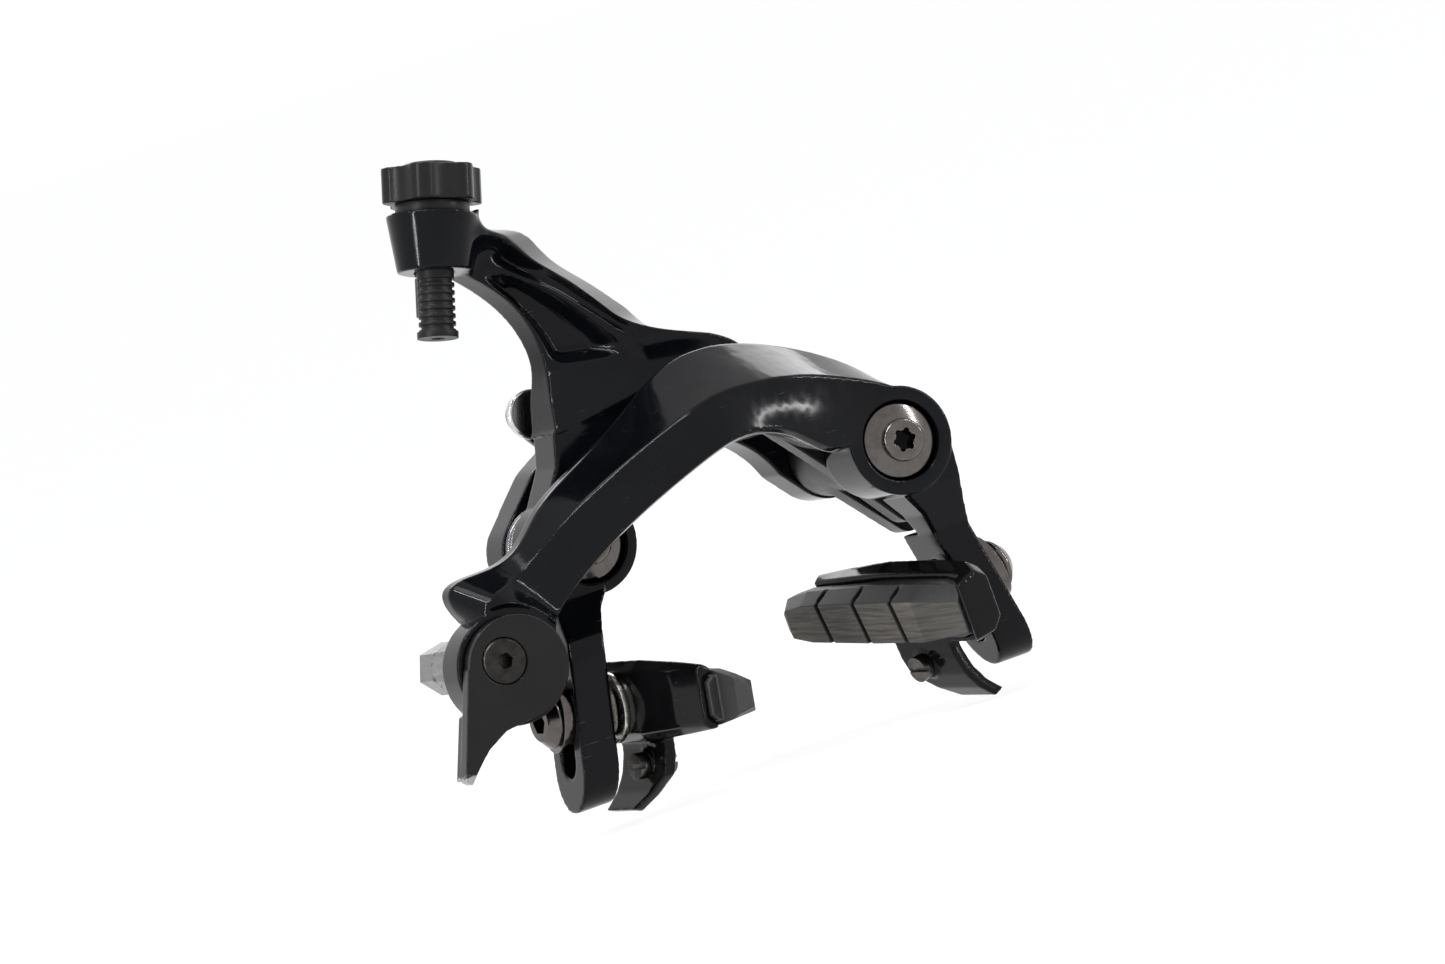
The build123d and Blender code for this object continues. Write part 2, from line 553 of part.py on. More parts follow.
# ---------------------------------------------------------------- adjuster
def barrel_frame(down):
    """A place on the adjuster axis, down from the knob top, local Z upwards along the axis."""
    x, y, z = BARREL_TOP
    return Pos(Y_X + x, y, z) * Rot(-BARREL_TIP, BARREL_LEAN, 0) * Pos(0, 0, -down)


def barrel_knob():
    """Six sided knob with scooped sides."""
    face = fillet(RegularPolygon(KNOB_R, 6).vertices(), KNOB_ROUND)
    knob = extrude(face, KNOB_T)
    flat = KNOB_R * cos(pi / 6)
    scoop = flat * 0.65
    for n in range(6):
        knob -= Rot(0, 0, 60 * n + 30) * Pos(flat + scoop * 0.87, 0) * disc(scoop, -PAST, KNOB_T + PAST)
    return barrel_frame(KNOB_T) * (knob - disc(CORE_R, -PAST, KNOB_T + PAST))


def barrel_collar():
    """Sliding collar between knob and boss."""
    return barrel_frame(KNOB_T + COLLAR_T) * ring(COLLAR_R, THREAD_R + RUN, 0, COLLAR_T)


def barrel_thread():
    """Threaded barrel with a socket for the cable casing at its top and a flange at its foot."""
    length = KNOB_T + COLLAR_T + BOSS_T + THREAD_OUT
    body = disc(THREAD_R, 0, length) + disc(CORE_R, length - KNOB_T, length)
    groove = ring(THREAD_R + PAST, THREAD_R - THREAD_DEPTH, 0, THREAD_PITCH / 2)
    for n in range(int((THREAD_OUT - BARREL_END_T) / THREAD_PITCH)):
        body -= Pos(0, 0, BARREL_END_T + THREAD_PITCH * (n + 0.25)) * groove
    body += disc(BARREL_END_R, 0, BARREL_END_T)
    body -= disc(CABLE_HOLE_R, -PAST, length + PAST)
    return barrel_frame(length) * (body - disc(CASING_R, length - CASING_DEPTH, length + PAST))


def barrel_guide():
    """Toothed detent rib hanging from the boss behind the barrel."""
    width, depth, height = GUIDE
    rib = Pos(0, 0, -height / 2) * Box(width, depth, height)
    notch = Rot(0, 90, 0) * Cylinder(GUIDE_PITCH / 3, width + PAST)
    for n in range(int(height / GUIDE_PITCH) - 1):
        rib -= Pos(0, -depth / 2, -GUIDE_PITCH * (n + 1.2)) * notch
    return barrel_frame(KNOB_T + COLLAR_T + BOSS_T) * Pos(0, THREAD_R + GUIDE_OFF + depth / 2, 0) * rib


# ---------------------------------------------------------------- release lever and cable anchor
def release_lever():
    """Disc with a blade and a turned edge, on a barrel that carries the anchor bolt off centre."""
    rear = CAM_FRONT + CAM_T
    lever = rod(CAM_X, CAM_Z, CAM_R, CAM_FRONT, rear)
    lever += layer(outline(BLADE, CAM_X, CAM_Z), CAM_FRONT, rear)
    lever += layer(outline(FLANGE, CAM_X, CAM_Z), CAM_FRONT, CAM_FRONT + FLANGE_DEPTH)
    lever += rod(CAM_X, CAM_Z, CAM_HUB_R, rear, C_BACK)
    lever -= rod(ANCHOR_X, ANCHOR_Z, ANCHOR_R + RUN, CAM_FRONT - PAST, C_BACK + PAST)
    return lever - rod(ANCHOR_X, ANCHOR_Z, ANCHOR_HEAD_R + RUN, CAM_FRONT - PAST, CAM_FRONT + ANCHOR_SUNK)


def anchor_bolt():
    """Bolt through the lever with a hexagon socket."""
    seat = CAM_FRONT + ANCHOR_SUNK
    front = seat - ANCHOR_HEAD_T
    head = rod(ANCHOR_X, ANCHOR_Z, ANCHOR_HEAD_R, front, seat)
    head = chamfer(front_circle(head), ANCHOR_HEAD_T / 3)
    bolt = head + rod(ANCHOR_X, ANCHOR_Z, ANCHOR_R, seat, ANCHOR_REAR)
    socket = Pos(ANCHOR_X, ANCHOR_Z) * RegularPolygon(ANCHOR_SOCKET_R, 6)
    return bolt - layer(socket, front - PAST, front + SOCKET_DEPTH)


def clamp_plate():
    """Grooved plate that traps the cable against the nut."""
    rear = CLAMP_FRONT + CLAMP_T
    plate = rod(ANCHOR_X, ANCHOR_Z, CLAMP_R, CLAMP_FRONT, rear)
    plate -= rod(ANCHOR_X, ANCHOR_Z, ANCHOR_R + RUN, CLAMP_FRONT - PAST, rear + PAST)
    return plate - Pos(ANCHOR_X + ANCHOR_R + CABLE_R, rear, ANCHOR_Z) * Cylinder(CABLE_R, 3 * CLAMP_R)


def clamp_nut():
    """Hexagon nut with a long collar."""
    front = CLAMP_FRONT + CLAMP_T
    rear = ANCHOR_REAR - PAST
    hexagon = Pos(ANCHOR_X, ANCHOR_Z) * RegularPolygon(NUT_AF / 2, 6, major_radius=False, rotation=12)
    nut = layer(hexagon, rear - NUT_T, rear) + rod(ANCHOR_X, ANCHOR_Z, NUT_COLLAR_R, front, rear - NUT_T)
    return nut - rod(ANCHOR_X, ANCHOR_Z, ANCHOR_R + RUN, front - PAST, rear + PAST)


# ---------------------------------------------------------------- pads
def pad_frame(side):
    """Pad frame at the leg middle: X to the closed end, Y up, Z inwards along the pad bolt."""
    tilt, toe = radians(PAD_TILT), radians(RIGHT_TOE if side > 0 else LEFT_TOE)
    inward = Vector(-side * cos(toe) * cos(tilt), -side * sin(toe) * cos(tilt), -sin(tilt))
    flat = Vector(side * sin(toe), -side * cos(toe), 0)
    closed = flat.rotate(Axis((0, 0, 0), inward), -RIGHT_PITCH if side > 0 else -LEFT_PITCH)
    return Plane(leg_frame(side).origin, x_dir=closed, z_dir=inward)


def block(stations, swell=0.0):
    """A block lofted along local X through (x, half height up, half height down, back, front)."""
    wires = []
    for x, up, down, back, front in stations:
        cut = min(2.4, (front - back) * 0.4)
        rows = ((up, front), (up + swell, back + cut), (up + swell - cut * 0.9, back),
                (cut * 0.9 - down, back), (-down, back + cut), (-down, front))
        wires.append(Wire.make_polygon([(x, y, z) for y, z in rows], close=True))
    return Solid.make_loft(wires, True)


def rubber_core(grow):
    """The rubber inside the holder, grown by a clearance for the pocket."""
    back = LIP_DIST - RUBBER_INSET - grow
    half = HOLDER_HALF - HOLDER_WALL + grow
    end = HOLDER_FRONT - END_WALL + grow
    top = LIP_DIST + PAST
    return block([(-HOLDER_REAR - PAST, half - 1.8, half - 1.9, back + 0.9, top),
                  (-8, half, half - 0.3, back, top),
                  (end - 4, half, half - 0.3, back, top),
                  (end, half - 1.2, half - 1.4, back + 0.6, top)])


def fin():
    """Curved wheel guide under the holder with a boss for the retaining screw."""
    inner = [(z - FIN_T, y + FIN_T * 0.3) for z, y in reversed(FIN_CURVE)]
    sheet = Plane((0, 0, 0), x_dir=(0, 0, 1), z_dir=(-1, 0, 0)) * outline([*FIN_CURVE, *inner])
    side = extrude(outline(FIN_SIDE), 2 * LIP_DIST)
    return (extrude(sheet, HOLDER_REAR, both=True) & side) + Pos(*FIN_SCREW) * disc(FIN_BOSS_R, *FIN_BOSS)


def pad_holder():
    """Glossy holder, open at one end, with the fin below and a threaded hole for the pad bolt."""
    half, back, lip = HOLDER_HALF, HOLDER_BACK, LIP_DIST
    holder = block([(-HOLDER_REAR, half - 1.7, half - 1.9, back + 3.0, lip - 0.6),
                    (-HOLDER_REAR + 8.5, half - 0.9, half - 1.2, back + 1.5, lip),
                    (-9, half, half - 0.3, back, lip), (8, half, half - 0.3, back, lip),
                    (HOLDER_FRONT - 3.5, half - 0.4, half - 0.5, back + 0.4, lip + 1.4),
                    (HOLDER_FRONT, half - 2.0, half - 1.9, back + 1.6, lip + 2.6)], HOLDER_SWELL)
    holder = (holder + fin()) - rubber_core(RUBBER_GAP)
    open_end = HOLDER_REAR + PAST
    room = HOLDER_FRONT - END_WALL + open_end
    holder -= Pos(room / 2 - open_end, 0, lip + HOLDER_WALL * 2) * Box(room, 2 * half + GAP, HOLDER_WALL * 4)
    holder -= disc(PAD_BOLT_R + RUN, back - PAST, back + SHANK_IN + GAP)
    return holder - Pos(*FIN_SCREW) * disc(PIN_SCREW_R + RUN, FIN_BOSS[0] - FIN_T, FIN_BOSS[1] + FIN_T)


def retaining_screw():
    """Screw through the fin's boss with a slotted head on both sides."""
    low, high = FIN_BOSS
    screw = disc(PIN_SCREW_R, low - PIN_HEAD_T / 2, high + PIN_HEAD_T / 2)
    screw += disc(PIN_HEAD_R, low - PIN_HEAD_T, low) + disc(PIN_HEAD_R, high, high + PIN_HEAD_T)
    for z in (low - PIN_HEAD_T, high + PIN_HEAD_T):
        screw -= Pos(0, 0, z) * Box(4 * PIN_HEAD_R, PIN_SLOT_W, PIN_HEAD_T)
    return Pos(*FIN_SCREW) * screw


def rubber_wire(x, up, down, face, crease):
    """One section of the rubber above the holder's lip."""
    rows = ((-down, LIP_DIST), (0.9 - down, face), (crease, face), (up, LIP_DIST + (face - LIP_DIST) * 0.4),
            (up, LIP_DIST))
    return Wire.make_polygon([(x, y, z) for y, z in rows], close=True)


def brake_pad():
    """Rubber with a worn lower facet, a falling upper facet and three chevron grooves."""
    face, half = FACE_DIST, HOLDER_HALF - HOLDER_WALL
    end = HOLDER_FRONT - END_WALL
    pad = Solid.make_loft([rubber_wire(-RUBBER_NOSE, 3.4, 3.4, face - 1.8, 1.0),
                           rubber_wire(-RUBBER_NOSE + 3, 4.2, 4.4, face, CREASE - 1.4),
                           rubber_wire(-HOLDER_REAR + 1, half - 0.8, half - 0.8, face, CREASE - 0.4),
                           rubber_wire(-10, half, half - 0.3, face, CREASE),
                           rubber_wire(end - 11, half, half - 0.3, face, CREASE),
                           rubber_wire(end, half - 0.8, half - 0.8, face - 3.0, CREASE - 1.4)], True)
    pad += rubber_core(0) & Pos(0, 0, LIP_DIST) * Box(4 * RUBBER_NOSE, 4 * half, 4 * RUBBER_INSET)
    for n in range(3):
        place = Pos(GROOVE_FIRST - n * GROOVE_PITCH, CREASE, face - GROOVE_DEPTH)
        for lean, turn in zip(GROOVE_LEANS, (-1, 1)):
            bar = Box(GROOVE_W, 2 * HOLDER_HALF, 2 * GROOVE_DEPTH, align=(Align.CENTER, Align.MIN, Align.MIN))
            pad -= place * Rot(0, 0, (180 if turn < 0 else 0) - turn * abs(lean)) * bar
    return pad


def domed_washer():
    """Leg side washer of the ball pair."""
    return ring(WASHER_R, WIDE_BORE_R, LEG_T / 2, HOLDER_BACK) & Sphere(BALL_R)


def cupped_washer():
    """Holder side washer of the ball pair."""
    return ring(WASHER_R, PAD_BOLT_R + RUN, HOLDER_BACK - CUP_T, HOLDER_BACK) - Sphere(BALL_R + RUN)


def outer_washer(side):
    """Dished washer on the outer face of the leg."""
    body = leg_frame(side) * ring(OUTER_WASHER_R, OUTER_BORE_R, -LEG_T / 2 - OUTER_WASHER_T, -LEG_T / 2)
    return body - pad_frame(side) * Pos(0, 0, -SEAT_AT) * Sphere(SEAT_R + RUN)


def pad_bolt():
    """Ball seated head with a crown and a hexagon socket, and a shank through the slot into the holder."""
    shoulder = PAD_HEAD_SHOULDER - PAD_HEAD_TOP
    head = disc(PAD_HEAD_R, shoulder, -LEG_T / 2) & Pos(0, 0, -SEAT_AT) * Sphere(SEAT_R)
    crown = Pos(0, 0, shoulder - PAD_HEAD_SHOULDER / 2) * Cone(PAD_HEAD_END_R, PAD_HEAD_R, PAD_HEAD_SHOULDER)
    bolt = head + crown + disc(PAD_BOLT_R, shoulder, HOLDER_BACK + SHANK_IN)
    socket = extrude(RegularPolygon(SOCKET_R, 6), SOCKET_DEPTH + PAST)
    return bolt - Pos(0, 0, -PAD_HEAD_TOP - PAST) * socket


# ---------------------------------------------------------------- build
def build():
    os.makedirs("parts", exist_ok=True)
    for piece in (booster_plate, stop_stud, return_spring, c_arm, centering_screw, link_lever, roller_pin,
                  equalizer_roller, y_arm, barrel_knob, barrel_collar, barrel_thread, barrel_guide,
                  release_lever, anchor_bolt, clamp_plate, clamp_nut):
        save(piece.__name__, piece())
    for name, x, front in PIVOTS:
        for piece in (pivot_sleeve, dome_washer, pivot_bolt):
            save(piece.__name__ + "_" + name, piece(x, front))
    for name, side in SIDES:
        for piece in (pad_holder, brake_pad, retaining_screw, cupped_washer, pad_bolt):
            save(piece.__name__ + "_" + name, pad_frame(side) * piece())
        save("domed_washer_" + name, leg_frame(side) * domed_washer())
        save("outer_washer_" + name, outer_washer(side))


build()
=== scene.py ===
"""Looks of a direct mount dual pivot rim brake caliper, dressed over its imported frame.

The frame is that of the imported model: X to the right seen from the front, Y to the rear and Z up.
Blender works in metres. The sizes of pieces and patterns below are in millimetres, and those of
the studio are in metres.
"""
from __future__ import annotations

import json
import logging
import math
from collections.abc import Callable
from dataclasses import dataclass
from enum import Enum

import bmesh
import bpy
import numpy as np
from mathutils import Matrix, Vector

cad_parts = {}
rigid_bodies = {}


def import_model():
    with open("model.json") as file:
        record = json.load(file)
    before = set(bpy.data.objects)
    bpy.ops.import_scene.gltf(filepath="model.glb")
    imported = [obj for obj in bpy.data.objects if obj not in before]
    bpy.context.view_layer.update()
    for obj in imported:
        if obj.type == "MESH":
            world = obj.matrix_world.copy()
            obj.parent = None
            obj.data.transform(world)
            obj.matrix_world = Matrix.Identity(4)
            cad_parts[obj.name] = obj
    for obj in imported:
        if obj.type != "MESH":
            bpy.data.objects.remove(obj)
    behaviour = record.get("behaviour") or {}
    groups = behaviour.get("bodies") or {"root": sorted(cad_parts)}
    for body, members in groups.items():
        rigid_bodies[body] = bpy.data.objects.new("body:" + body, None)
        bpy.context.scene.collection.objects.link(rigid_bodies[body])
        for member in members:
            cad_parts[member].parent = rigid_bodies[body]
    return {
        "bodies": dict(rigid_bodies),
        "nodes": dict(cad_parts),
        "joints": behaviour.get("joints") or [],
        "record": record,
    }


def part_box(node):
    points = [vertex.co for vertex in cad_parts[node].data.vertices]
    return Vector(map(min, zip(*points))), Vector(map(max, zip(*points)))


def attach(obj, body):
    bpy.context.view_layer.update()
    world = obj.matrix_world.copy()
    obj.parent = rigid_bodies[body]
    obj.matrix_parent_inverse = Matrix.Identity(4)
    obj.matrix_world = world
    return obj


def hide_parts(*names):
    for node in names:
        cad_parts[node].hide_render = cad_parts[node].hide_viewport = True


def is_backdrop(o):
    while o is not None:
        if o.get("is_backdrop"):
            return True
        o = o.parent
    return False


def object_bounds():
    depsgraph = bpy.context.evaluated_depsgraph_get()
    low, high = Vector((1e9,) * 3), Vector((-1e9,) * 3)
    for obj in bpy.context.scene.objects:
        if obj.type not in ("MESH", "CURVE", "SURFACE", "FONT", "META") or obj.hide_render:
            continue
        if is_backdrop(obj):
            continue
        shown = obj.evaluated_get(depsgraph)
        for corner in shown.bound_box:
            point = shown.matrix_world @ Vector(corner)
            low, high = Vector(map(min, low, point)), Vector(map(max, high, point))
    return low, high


log = logging.getLogger("caliper")

MM = 0.001

Pair = tuple[float, float]
Triple = tuple[float, float, float]
Colour = Triple
Points = np.ndarray
Lines = tuple[Pair, ...]
Shaper = Callable[[Points], Points]
Socket = bpy.types.NodeSocket
Source = float | Triple | Socket


# ---------------------------------------------------------------- shader tools
@dataclass(frozen=True)
class Pattern:
    """Fractal noise: its waves per millimetre, its octaves and the share of the fine ones."""

    waves: float
    octaves: float = 4.0
    fine: float = 0.55


@dataclass(frozen=True)
class Relief:
    """A bumpy normal: its strength, and the height of one unit in millimetres."""

    strength: float
    height: float


class Graph:
    """A node tree with one Principled shader, and coordinates in millimetres of the frame."""

    def __init__(self, name: str) -> None:
        """Make the material and its shader.

        Args:
            name: Name of the material.
        """
        self.material = bpy.data.materials.new(name)
        self.material.use_nodes = True
        self.tree = self.material.node_tree
        self.tree.nodes.clear()
        self.shader = self.tree.nodes.new("ShaderNodeBsdfPrincipled")
        output = self.tree.nodes.new("ShaderNodeOutputMaterial")
        self.tree.links.new(self.shader.outputs[0], output.inputs[0])
        self.coordinates = self.tree.nodes.new("ShaderNodeTexCoord")
        self.place = self.vector("SCALE", self.coordinates.outputs["Object"], scale=1 / MM)

    def join(self, source: Source, target: Socket) -> None:
        """Link a socket, or set a plain value.

        Args:
            source: An output socket or a value.
            target: The input socket that takes it.
        """
        if isinstance(source, Socket):
            self.tree.links.new(source, target)
        else:
            target.default_value = source

    def vector(self, operation: str, a: Source, b: Source | None = None,
               scale: float | None = None) -> Socket:
        """Work with vectors.

        Args:
            operation: Name of the vector operation.
            a: First vector.
            b: Second vector.
            scale: Factor for SCALE.

        Returns:
            The result's socket.
        """
        node = self.tree.nodes.new("ShaderNodeVectorMath")
        node.operation = operation
        self.join(a, node.inputs[0])
        if b is not None:
            self.join(b, node.inputs[1])
        if scale is not None:
            node.inputs["Scale"].default_value = scale
        return node.outputs["Value" if operation in ("DOT_PRODUCT", "LENGTH") else "Vector"]

    def axis(self, name: str) -> Socket:
        """One coordinate in millimetres.

        Args:
            name: Its letter.

        Returns:
            The coordinate's socket.
        """
        node = self.tree.nodes.new("ShaderNodeSeparateXYZ")
        self.join(self.place, node.inputs[0])
        return node.outputs[name]

    def combined(self, *parts: Source) -> Socket:
        """Coordinates put together from single numbers.

        Args:
            *parts: One number for each axis, from X on.

        Returns:
            The coordinates.
        """
        node = self.tree.nodes.new("ShaderNodeCombineXYZ")
        for part, target in zip(parts, node.inputs):
            self.join(part, target)
        return node.outputs[0]

    def maths(self, operation: str, a: Source, b: Source) -> Socket:
        """Work with two numbers.

        Args:
            operation: Name of the operation.
            a: First number.
            b: Second number.

        Returns:
            The result's socket.
        """
        node = self.tree.nodes.new("ShaderNodeMath")
        node.operation = operation
        self.join(a, node.inputs[0])
        self.join(b, node.inputs[1])
        return node.outputs[0]

    def stretched(self, factors: Triple, place: Socket | None = None) -> Socket:
        """Coordinates, the part's own if left out, scaled by a factor for each axis."""
        return self.vector("MULTIPLY", place or self.place, factors)

    def noise(self, pattern: Pattern, place: Socket | None = None) -> Socket:
        """Fractal noise.

        Args:
            pattern: Its waves and octaves.
            place: Coordinates, the part's own if left out.

        Returns:
            A number around one half.
        """
        node = self.tree.nodes.new("ShaderNodeTexNoise")
        node.inputs["Scale"].default_value = pattern.waves
        node.inputs["Detail"].default_value = pattern.octaves
        node.inputs["Roughness"].default_value = pattern.fine
        self.join(place or self.place, node.inputs["Vector"])
        return node.outputs["Fac"]

    def band(self, value: Socket, limits: Pair, results: Pair = (0.0, 1.0)) -> Socket:
        """A number moved from one range to another, and held at its ends.

        Args:
            value: The number.
            limits: Start and end of its range.
            results: What it becomes there.

        Returns:
            The result's socket.
        """
        node = self.tree.nodes.new("ShaderNodeMapRange")
        self.join(value, node.inputs["Value"])
        names = ("From Min", "From Max", "To Min", "To Max")
        for name, number in zip(names, (*limits, *results)):
            node.inputs[name].default_value = number
        return node.outputs[0]

    def blend(self, factor: Source, a: Source, b: Source) -> Socket:
        """A mix of two colours.

        Args:
            factor: Share of the second one.
            a: First colour or socket.
            b: Second colour or socket.

        Returns:
            The mixed colour.
        """
        node = self.tree.nodes.new("ShaderNodeMix")
        node.data_type = "RGBA"
        self.join(factor, node.inputs[0])
        for colour, socket in ((a, node.inputs[6]), (b, node.inputs[7])):
            self.join((*colour, 1.0) if isinstance(colour, tuple) else colour, socket)
        return node.outputs[2]

    def bump(self, height: Socket, relief: Relief) -> None:
        """Give the shader a bumpy normal.

        Args:
            height: Height of the surface.
            relief: How strong it is.
        """
        node = self.tree.nodes.new("ShaderNodeBump")
        node.inputs["Strength"].default_value = relief.strength
        node.inputs["Distance"].default_value = relief.height * MM
        self.join(height, node.inputs["Height"])
        self.join(node.outputs[0], self.shader.inputs["Normal"])
        self.join(node.outputs[0], self.shader.inputs["Coat Normal"])

    def set(self, **values: Source) -> bpy.types.Material:
        """Set the shader's sockets by name, with _ for a space.

        Args:
            **values: Values or sockets.

        Returns:
            The finished material.
        """
        for name, value in values.items():
            if isinstance(value, tuple):
                value = (*value, 1.0)
            socket = name.replace("_", " ").title().replace("Ior", "IOR")
            self.join(value, self.shader.inputs[socket])
        return self.material


# ---------------------------------------------------------------- finishes
@dataclass(frozen=True)
class Lacquer:
    """Deep black lacquer over forged aluminium, with hairline scuffs here and there."""

    name: str = "forged_lacquer"
    deep: Colour = (0.0016, 0.0018, 0.0026)
    pale: Colour = (0.0034, 0.0038, 0.0052)
    scuff: Colour = (0.09, 0.09, 0.095)
    roughness: float = 0.11
    shine: float = 0.14
    cloud: Pattern = Pattern(0.06, 3.0)
    cloud_limits: Pair = (0.35, 0.65)
    hair: Pattern = Pattern(1.0, 2.0, 0.7)
    hair_stretch: Triple = (0.09, 1.0, 3.2)
    hair_limits: Pair = (0.69, 0.74)
    patch: Pattern = Pattern(0.11, 2.0)
    patch_limits: Pair = (0.56, 0.66)
    scuff_roughness: float = 0.5
    smear: Pattern = Pattern(0.35, 5.0)
    smear_limits: Pair = (0.3, 0.7)
    smear_range: Pair = (0.8, 1.35)
    ripple: Pattern = Pattern(0.25, 2.0)
    relief: Relief = Relief(0.03, 0.05)

    def build(self) -> bpy.types.Material:
        """Make the material.

        Returns:
            The material.
        """
        graph = Graph(self.name)
        cloud = graph.noise(self.cloud)
        hair = graph.noise(self.hair, graph.stretched(self.hair_stretch))
        scuffs = graph.maths("MULTIPLY", graph.band(hair, self.hair_limits),
                             graph.band(graph.noise(self.patch), self.patch_limits))
        body = graph.blend(graph.band(cloud, self.cloud_limits), self.deep, self.pale)
        least, most = (self.roughness * share for share in self.smear_range)
        smear = graph.band(graph.noise(self.smear), self.smear_limits, (least, most))
        rubbed = graph.maths("MULTIPLY", scuffs, self.scuff_roughness)
        graph.bump(graph.noise(self.ripple), self.relief)
        return graph.set(base_color=graph.blend(scuffs, body, self.scuff),
                         roughness=graph.maths("MAXIMUM", smear, rubbed),
                         specular_ior_level=self.shine)


@dataclass(frozen=True)
class Satin:
    """Satin black anodising or plastic with a fine grain.

    Where a corner is given as its x and z, a painted reflection lightens the surface left of it and
    below it.
    """

    name: str = "satin_black"
    deep: Colour = (0.005, 0.005, 0.0055)
    pale: Colour = (0.013, 0.013, 0.0135)
    roughness: float = 0.34
    grain_waves: float = 7.0
    shine: float = 0.2
    cloud: Pattern = Pattern(0.12, 4.0)
    rub_limits: Pair = (0.3, 0.7)
    rub_range: Pair = (0.8, 1.25)
    mottle_limits: Pair = (0.2, 0.8)
    mottle_range: Pair = (0.5, 1.3)
    relief: Relief = Relief(0.08, 0.03)
    reflection_corner: Pair | None = None
    # light colour of the painted reflection in the corner
    reflection_colour: Colour = (0.30, 0.30, 0.31)
    ragging: Pattern = Pattern(1.6, 4.0, 0.7)
    ragging_limits: Pair = (0.3, 0.7)
    ragging_depth: float = 0.8
    fade: Pair = (0.3, 0.2)

    def painted_reflection(self, graph: Graph) -> Socket:
        """The corner with the painted reflection.

        Args:
            graph: The material's tree.

        Returns:
            1 where the reflection is painted.
        """
        left, low = self.reflection_corner
        fade_x, fade_z = self.fade
        ragged = graph.band(graph.noise(self.ragging), self.ragging_limits,
                            (-self.ragging_depth, self.ragging_depth))
        under = graph.band(graph.maths("ADD", graph.axis("Z"), ragged),
                           (low + fade_z, low - fade_z))
        beside = graph.band(graph.axis("X"), (left + fade_x, left - fade_x))
        return graph.maths("MULTIPLY", under, beside)

    def build(self) -> bpy.types.Material:
        """Make the material.

        Returns:
            The material.
        """
        graph = Graph(self.name)
        grain = graph.noise(Pattern(self.grain_waves, 3.0, 0.6))
        cloud = graph.noise(self.cloud)
        least, most = (self.roughness * share for share in self.rub_range)
        mottle = graph.maths("MULTIPLY", grain,
                             graph.band(cloud, self.mottle_limits, self.mottle_range))
        graph.bump(grain, self.relief)
        colour = graph.blend(mottle, self.deep, self.pale)
        if self.reflection_corner:
            # paint the floor's reflection onto the corner
            colour = graph.blend(self.painted_reflection(graph), colour, self.reflection_colour)
        return graph.set(base_color=colour,
                         roughness=graph.band(cloud, self.rub_limits, (least, most)),
                         specular_ior_level=self.shine)


@dataclass(frozen=True)
class Metal:
    """Bare or plated metal with fine scratches and tarnish.

    Where a socket is given as the x of its axis and the y of its rim, its inside is darkened with
    painted shade.
    """

    name: str
    bright: Colour
    dull: Colour
    roughness: float = 0.2
    wear: float = 0.35
    scratches: Pattern = Pattern(1.0, 4.0, 0.7)
    scratch_stretch: Triple = (6.0, 0.6, 6.0)
    scratch_limits: Pair = (0.3, 0.7)
    scratch_range: Pair = (0.7, 1.5)
    patch: Pattern = Pattern(0.5, 4.0)
    patch_limits: Pair = (0.4, 0.65)
    relief: Relief = Relief(0.06, 0.03)
    socket: Pair | None = None
    socket_radius: float = 2.45
    socket_fade: float = 0.1
    socket_lead: float = 0.2
    # colour of the painted shade inside the socket
    socket_shade_colour: Colour = (0.006, 0.006, 0.006)

    def painted_socket_shade(self, graph: Graph) -> Socket:
        """Painted shade inside the socket.

        Args:
            graph: The material's tree.

        Returns:
            1 where painted shade darkens the surface.
        """
        axis, rim = self.socket
        spoke = graph.vector("SUBTRACT", graph.place, (axis, 0.0, 0.0))
        away = graph.vector("LENGTH", graph.stretched((1.0, 0.0, 1.0), spoke))
        inside = graph.band(away, (self.socket_radius, self.socket_radius - self.socket_fade))
        deep = graph.band(graph.axis("Y"), (rim, rim + self.socket_lead))
        return graph.maths("MULTIPLY", inside, deep)

    def build(self) -> bpy.types.Material:
        """Make the material.

        Returns:
            The material.
        """
        graph = Graph(self.name)
        fine = graph.noise(self.scratches, graph.stretched(self.scratch_stretch))
        patch = graph.band(graph.noise(self.patch), self.patch_limits)
        least, most = (self.roughness * share for share in self.scratch_range)
        colour = graph.blend(graph.maths("MULTIPLY", patch, self.wear), self.bright, self.dull)
        if self.socket:
            # paint shade into the socket, so that it reads darker than the head
            colour = graph.blend(self.painted_socket_shade(graph), colour, self.socket_shade_colour)
        graph.bump(fine, self.relief)
        return graph.set(base_color=colour, metallic=1.0,
                         roughness=graph.band(fine, self.scratch_limits, (least, most)))


